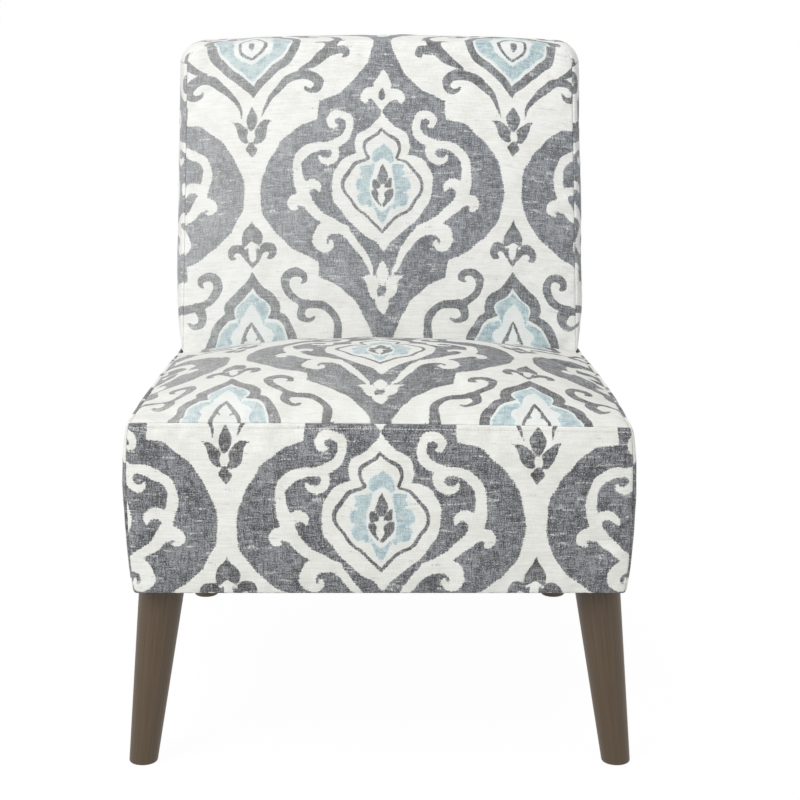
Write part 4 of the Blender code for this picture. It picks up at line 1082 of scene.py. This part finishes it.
def stained_wood(name):
    """Grey-brown stain under a satin lacquer, with fine grain along the leg."""
    n = Nodes(bpy.data.materials.new(name))
    along, turn, _ = n.attribute("cloth")
    grain = n.stretched(along, turn, 0.012, 0.55, 0.0, 4.0)
    broad = n.stretched(along, turn, 0.006, 0.10, 0.0, 2.0, 0.5)
    pores = n.stretched(along, turn, 0.05, 1.6, 5.0)
    shade = n.plus(n.times(grain, 0.6), n.times(broad, 0.4))
    colour = n.mix(n.step(shade, 0.32, 0.68), (0.0605, 0.0372, 0.0176), (0.098, 0.0632, 0.0308))
    colour = n.mix(n.times(n.step(pores, 0.58, 0.70), 0.35), colour, (0.047, 0.031, 0.018))
    return n.surfaced({"Base Color": colour, "Roughness": n.plus(0.42, n.times(pores, 0.16)),
                       "Normal": n.bump(pores, 0.12, 0.0002), "Coat Weight": 0.08, "Coat Roughness": 0.30})


# Legs

def build_leg(side, end, finish):
    """Turned tapered leg on a slanted axis, with eased edges at its foot and top."""
    top, foot = LEG_AXES[end]
    top_ease = 0.001
    foot_ease = 0.0022
    segments = 72
    profile = [(LEG_FOOT_R - foot_ease + foot_ease * math.sin(t), LEG_SOLE_Z + foot_ease * (1 - math.cos(t)))
               for t in np.linspace(0, math.pi / 2, 6)]
    for share in np.linspace(0, 1, 40)[1:-1]:
        z = lerp(LEG_SOLE_Z + foot_ease, LEG_TOP_Z - top_ease, share)
        profile.append((lerp(LEG_FOOT_R, LEG_TOP_R, share), z))
    profile += [(LEG_TOP_R, LEG_TOP_Z - top_ease), (LEG_TOP_R - top_ease, LEG_TOP_Z)]
    vertices = []
    cloth = []
    for radius, z in profile:
        share = (z - LEG_SOLE_Z) / (LEG_TOP_Z - LEG_SOLE_Z)
        x = side * lerp(foot[0], top[0], share)
        y = lerp(foot[1], top[1], share)
        for angle in np.linspace(0, 2 * math.pi, segments, endpoint=False):
            vertices.append((x + radius * math.cos(angle), y + radius * math.sin(angle) + SHIFT, z))
            cloth.append((z * 1000, 60 * math.sin(angle) + 30 * math.cos(2 * angle), 0))
    index = np.arange(len(vertices)).reshape(len(profile), segments)
    index = np.concatenate([index, index[:, :1]], axis=1)
    faces = grid_faces(index).tolist() + [index[0, -2::-1].tolist(), index[-1, :-1].tolist()]
    leg = add_mesh("turned_leg_%s_%s" % (end, WORDS[side]), vertices, faces, finish)
    leg.data.shade_smooth()
    leg.data.set_sharp_from_angle(angle=math.radians(50))
    add_attribute(leg.data, "cloth", "FLOAT_VECTOR", cloth)
    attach(leg, "root")
    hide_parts("leg_%s_%s" % (end, WORDS[side]))


# Assembly

def dress():
    # One linen in three copies: the back's is paler and the seat top's darker than the band's, painted light
    # and shade for how brightly each panel is lit. The last number is the share of painted glare towards the
    # left.
    back_cloth = printed_linen("printed_linen_back", (0.122, 0.132, 0.148), (0.372, 0.386, 0.408),
                               (0.895, 0.895, 0.872), 3.0, 3.0, 3.4, 0.20)
    seat_cloth = printed_linen("printed_linen_seat", (0.066, 0.069, 0.076), (0.316, 0.324, 0.338),
                               (0.826, 0.826, 0.794), 2.4, 2.4, 5.0, 0.25)
    band_cloth = printed_linen("printed_linen_band", (0.068, 0.071, 0.078), (0.310, 0.318, 0.336),
                               (0.870, 0.870, 0.836), 3.0, 3.2, 4.4, 0.0)
    pieces = [(build_seat_top(seat_cloth), ("seat_cover_top", "seat_foam")),
              (build_seat_front(band_cloth), ("seat_cover_front", "front_padding")),
              (build_seat_side(-1, band_cloth), ("seat_cover_left", "side_padding_left")),
              (build_seat_side(1, band_cloth), ("seat_cover_right", "side_padding_right")),
              (build_back_front(back_cloth), ("back_cover_front", "back_foam")),
              (build_back_rear(back_cloth), ("back_cover_rear",)),
              (build_back_side(-1, back_cloth), ("back_cover_left", "back_padding_left")),
              (build_back_side(1, back_cloth), ("back_cover_right", "back_padding_right")),
              (build_back_top(back_cloth), ("back_cover_top", "back_padding_top"))]
    for piece, nodes in pieces:
        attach(piece, "root")
        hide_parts(*nodes)
    wood = stained_wood("stained_wood")
    for side in (-1, 1):
        for end in ("front", "rear"):
            build_leg(side, end, wood)
    finishes = {
        "plywood": mottled("raw_plywood", (0.40, 0.27, 0.15), (0.66, 0.49, 0.31), 14, 0.7, (1, 12, 12)),
        "block_wood": mottled("raw_softwood", (0.52, 0.38, 0.22), (0.74, 0.58, 0.38), 16, 0.7, (1, 10, 10)),
        "fibreboard": mottled("raw_fibreboard", (0.25, 0.18, 0.12), (0.38, 0.28, 0.19), 90, 0.8),
        "felt": mottled("needled_felt", (0.26, 0.26, 0.26), (0.44, 0.44, 0.44), 240, 0.95),
        "webbing": mottled("elastic_webbing", (0.06, 0.06, 0.07), (0.15, 0.15, 0.16), 200, 0.8, (1, 1, 6)),
        "steel": mottled("plain_steel", (0.42, 0.43, 0.45), (0.62, 0.63, 0.65), 60, 0.35, metallic=1.0),
        "nylon": mottled("moulded_nylon", (0.035, 0.035, 0.035), (0.06, 0.06, 0.06), 300, 0.5),
        "cambric": mottled("black_cambric", (0.015, 0.015, 0.016), (0.04, 0.04, 0.042), 500, 0.9),
        "fibre": mottled("fibre_wadding", (0.74, 0.74, 0.72), (0.90, 0.90, 0.88), 200, 0.95),
        "foam": mottled("cut_foam", (0.72, 0.64, 0.42), (0.86, 0.80, 0.60), 300, 0.95),
    }
    for part in frame["record"]["subparts"]:
        node = frame["nodes"][part["node"]]
        if part["material_slot"] in finishes:
            node.data.materials.clear()
            node.data.materials.append(finishes[part["material_slot"]])


# Camera, floor and light

def add_camera():
    data = bpy.data.cameras.new("camera")
    data.sensor_width = 36
    data.lens = LENS
    data.shift_x = LENS_SHIFT
    camera = add_object("camera", data)
    camera.location = (0, SHIFT - CAMERA_BACK, CAMERA_HEIGHT)
    camera.rotation_euler = (math.radians(90 - CAMERA_DOWN), 0, 0)
    bpy.context.scene.camera = camera


def add_floor():
    """White sweep: a floor that bends up into a rear wall."""
    reach = 9.0
    bend = 3.0
    radius = 1.5
    turns = np.linspace(0, math.pi / 2, 16)
    sweep = [(-reach, 0.0), *((bend + radius * math.sin(t), radius * (1 - math.cos(t))) for t in turns)]
    sweep.append((bend + radius, 6.0))
    vertices = [(x, y, z) for y, z in sweep for x in (-reach, reach)]
    faces = [(2 * i, 2 * i + 1, 2 * i + 3, 2 * i + 2) for i in range(len(sweep) - 1)]
    n = Nodes(bpy.data.materials.new("studio_white"))
    white = n.surfaced({"Base Color": (0.86, 0.86, 0.86, 1), "Roughness": 0.9})
    glow = n.made("ShaderNodeEmission", {"Color": (1, 1, 1, 1), "Strength": FLOOR_GLOW})
    n.seen_or(n.tree.nodes["Principled BSDF"].outputs[0], glow, SHADOW_HIDDEN, "Material Output")
    floor = add_mesh("floor", vertices, faces, white)
    floor.data.shade_smooth()


def add_world():
    world = bpy.data.worlds.new("studio")
    n = Nodes(world)
    soft = n.tree.nodes["Background"]
    soft.inputs["Color"].default_value = (1, 1, 1, 1)
    soft.inputs["Strength"].default_value = WORLD_LIGHT
    white = n.made("ShaderNodeBackground", {"Color": (1, 1, 1, 1), "Strength": 1.0})
    n.seen_or(soft.outputs[0], white, 1.0, "World Output")
    bpy.context.scene.world = world


def add_lamp(name, place, size, power):
    data = bpy.data.lights.new(name, "AREA")
    data.size = size
    data.energy = power
    lamp = add_object(name, data)
    lamp.location = place
    aim = np.array(LAMP_AIM) - np.array(place)
    yaw = math.atan2(aim[1], aim[0]) - math.pi / 2
    lamp.rotation_euler = (math.atan2(math.hypot(aim[0], aim[1]), -aim[2]), 0, yaw)


dress()
add_camera()
add_floor()
add_world()
for lamp_facts in LAMPS:
    add_lamp(*lamp_facts)
bpy.context.scene.view_settings.view_transform = "Standard"
bpy.context.view_layer.update()
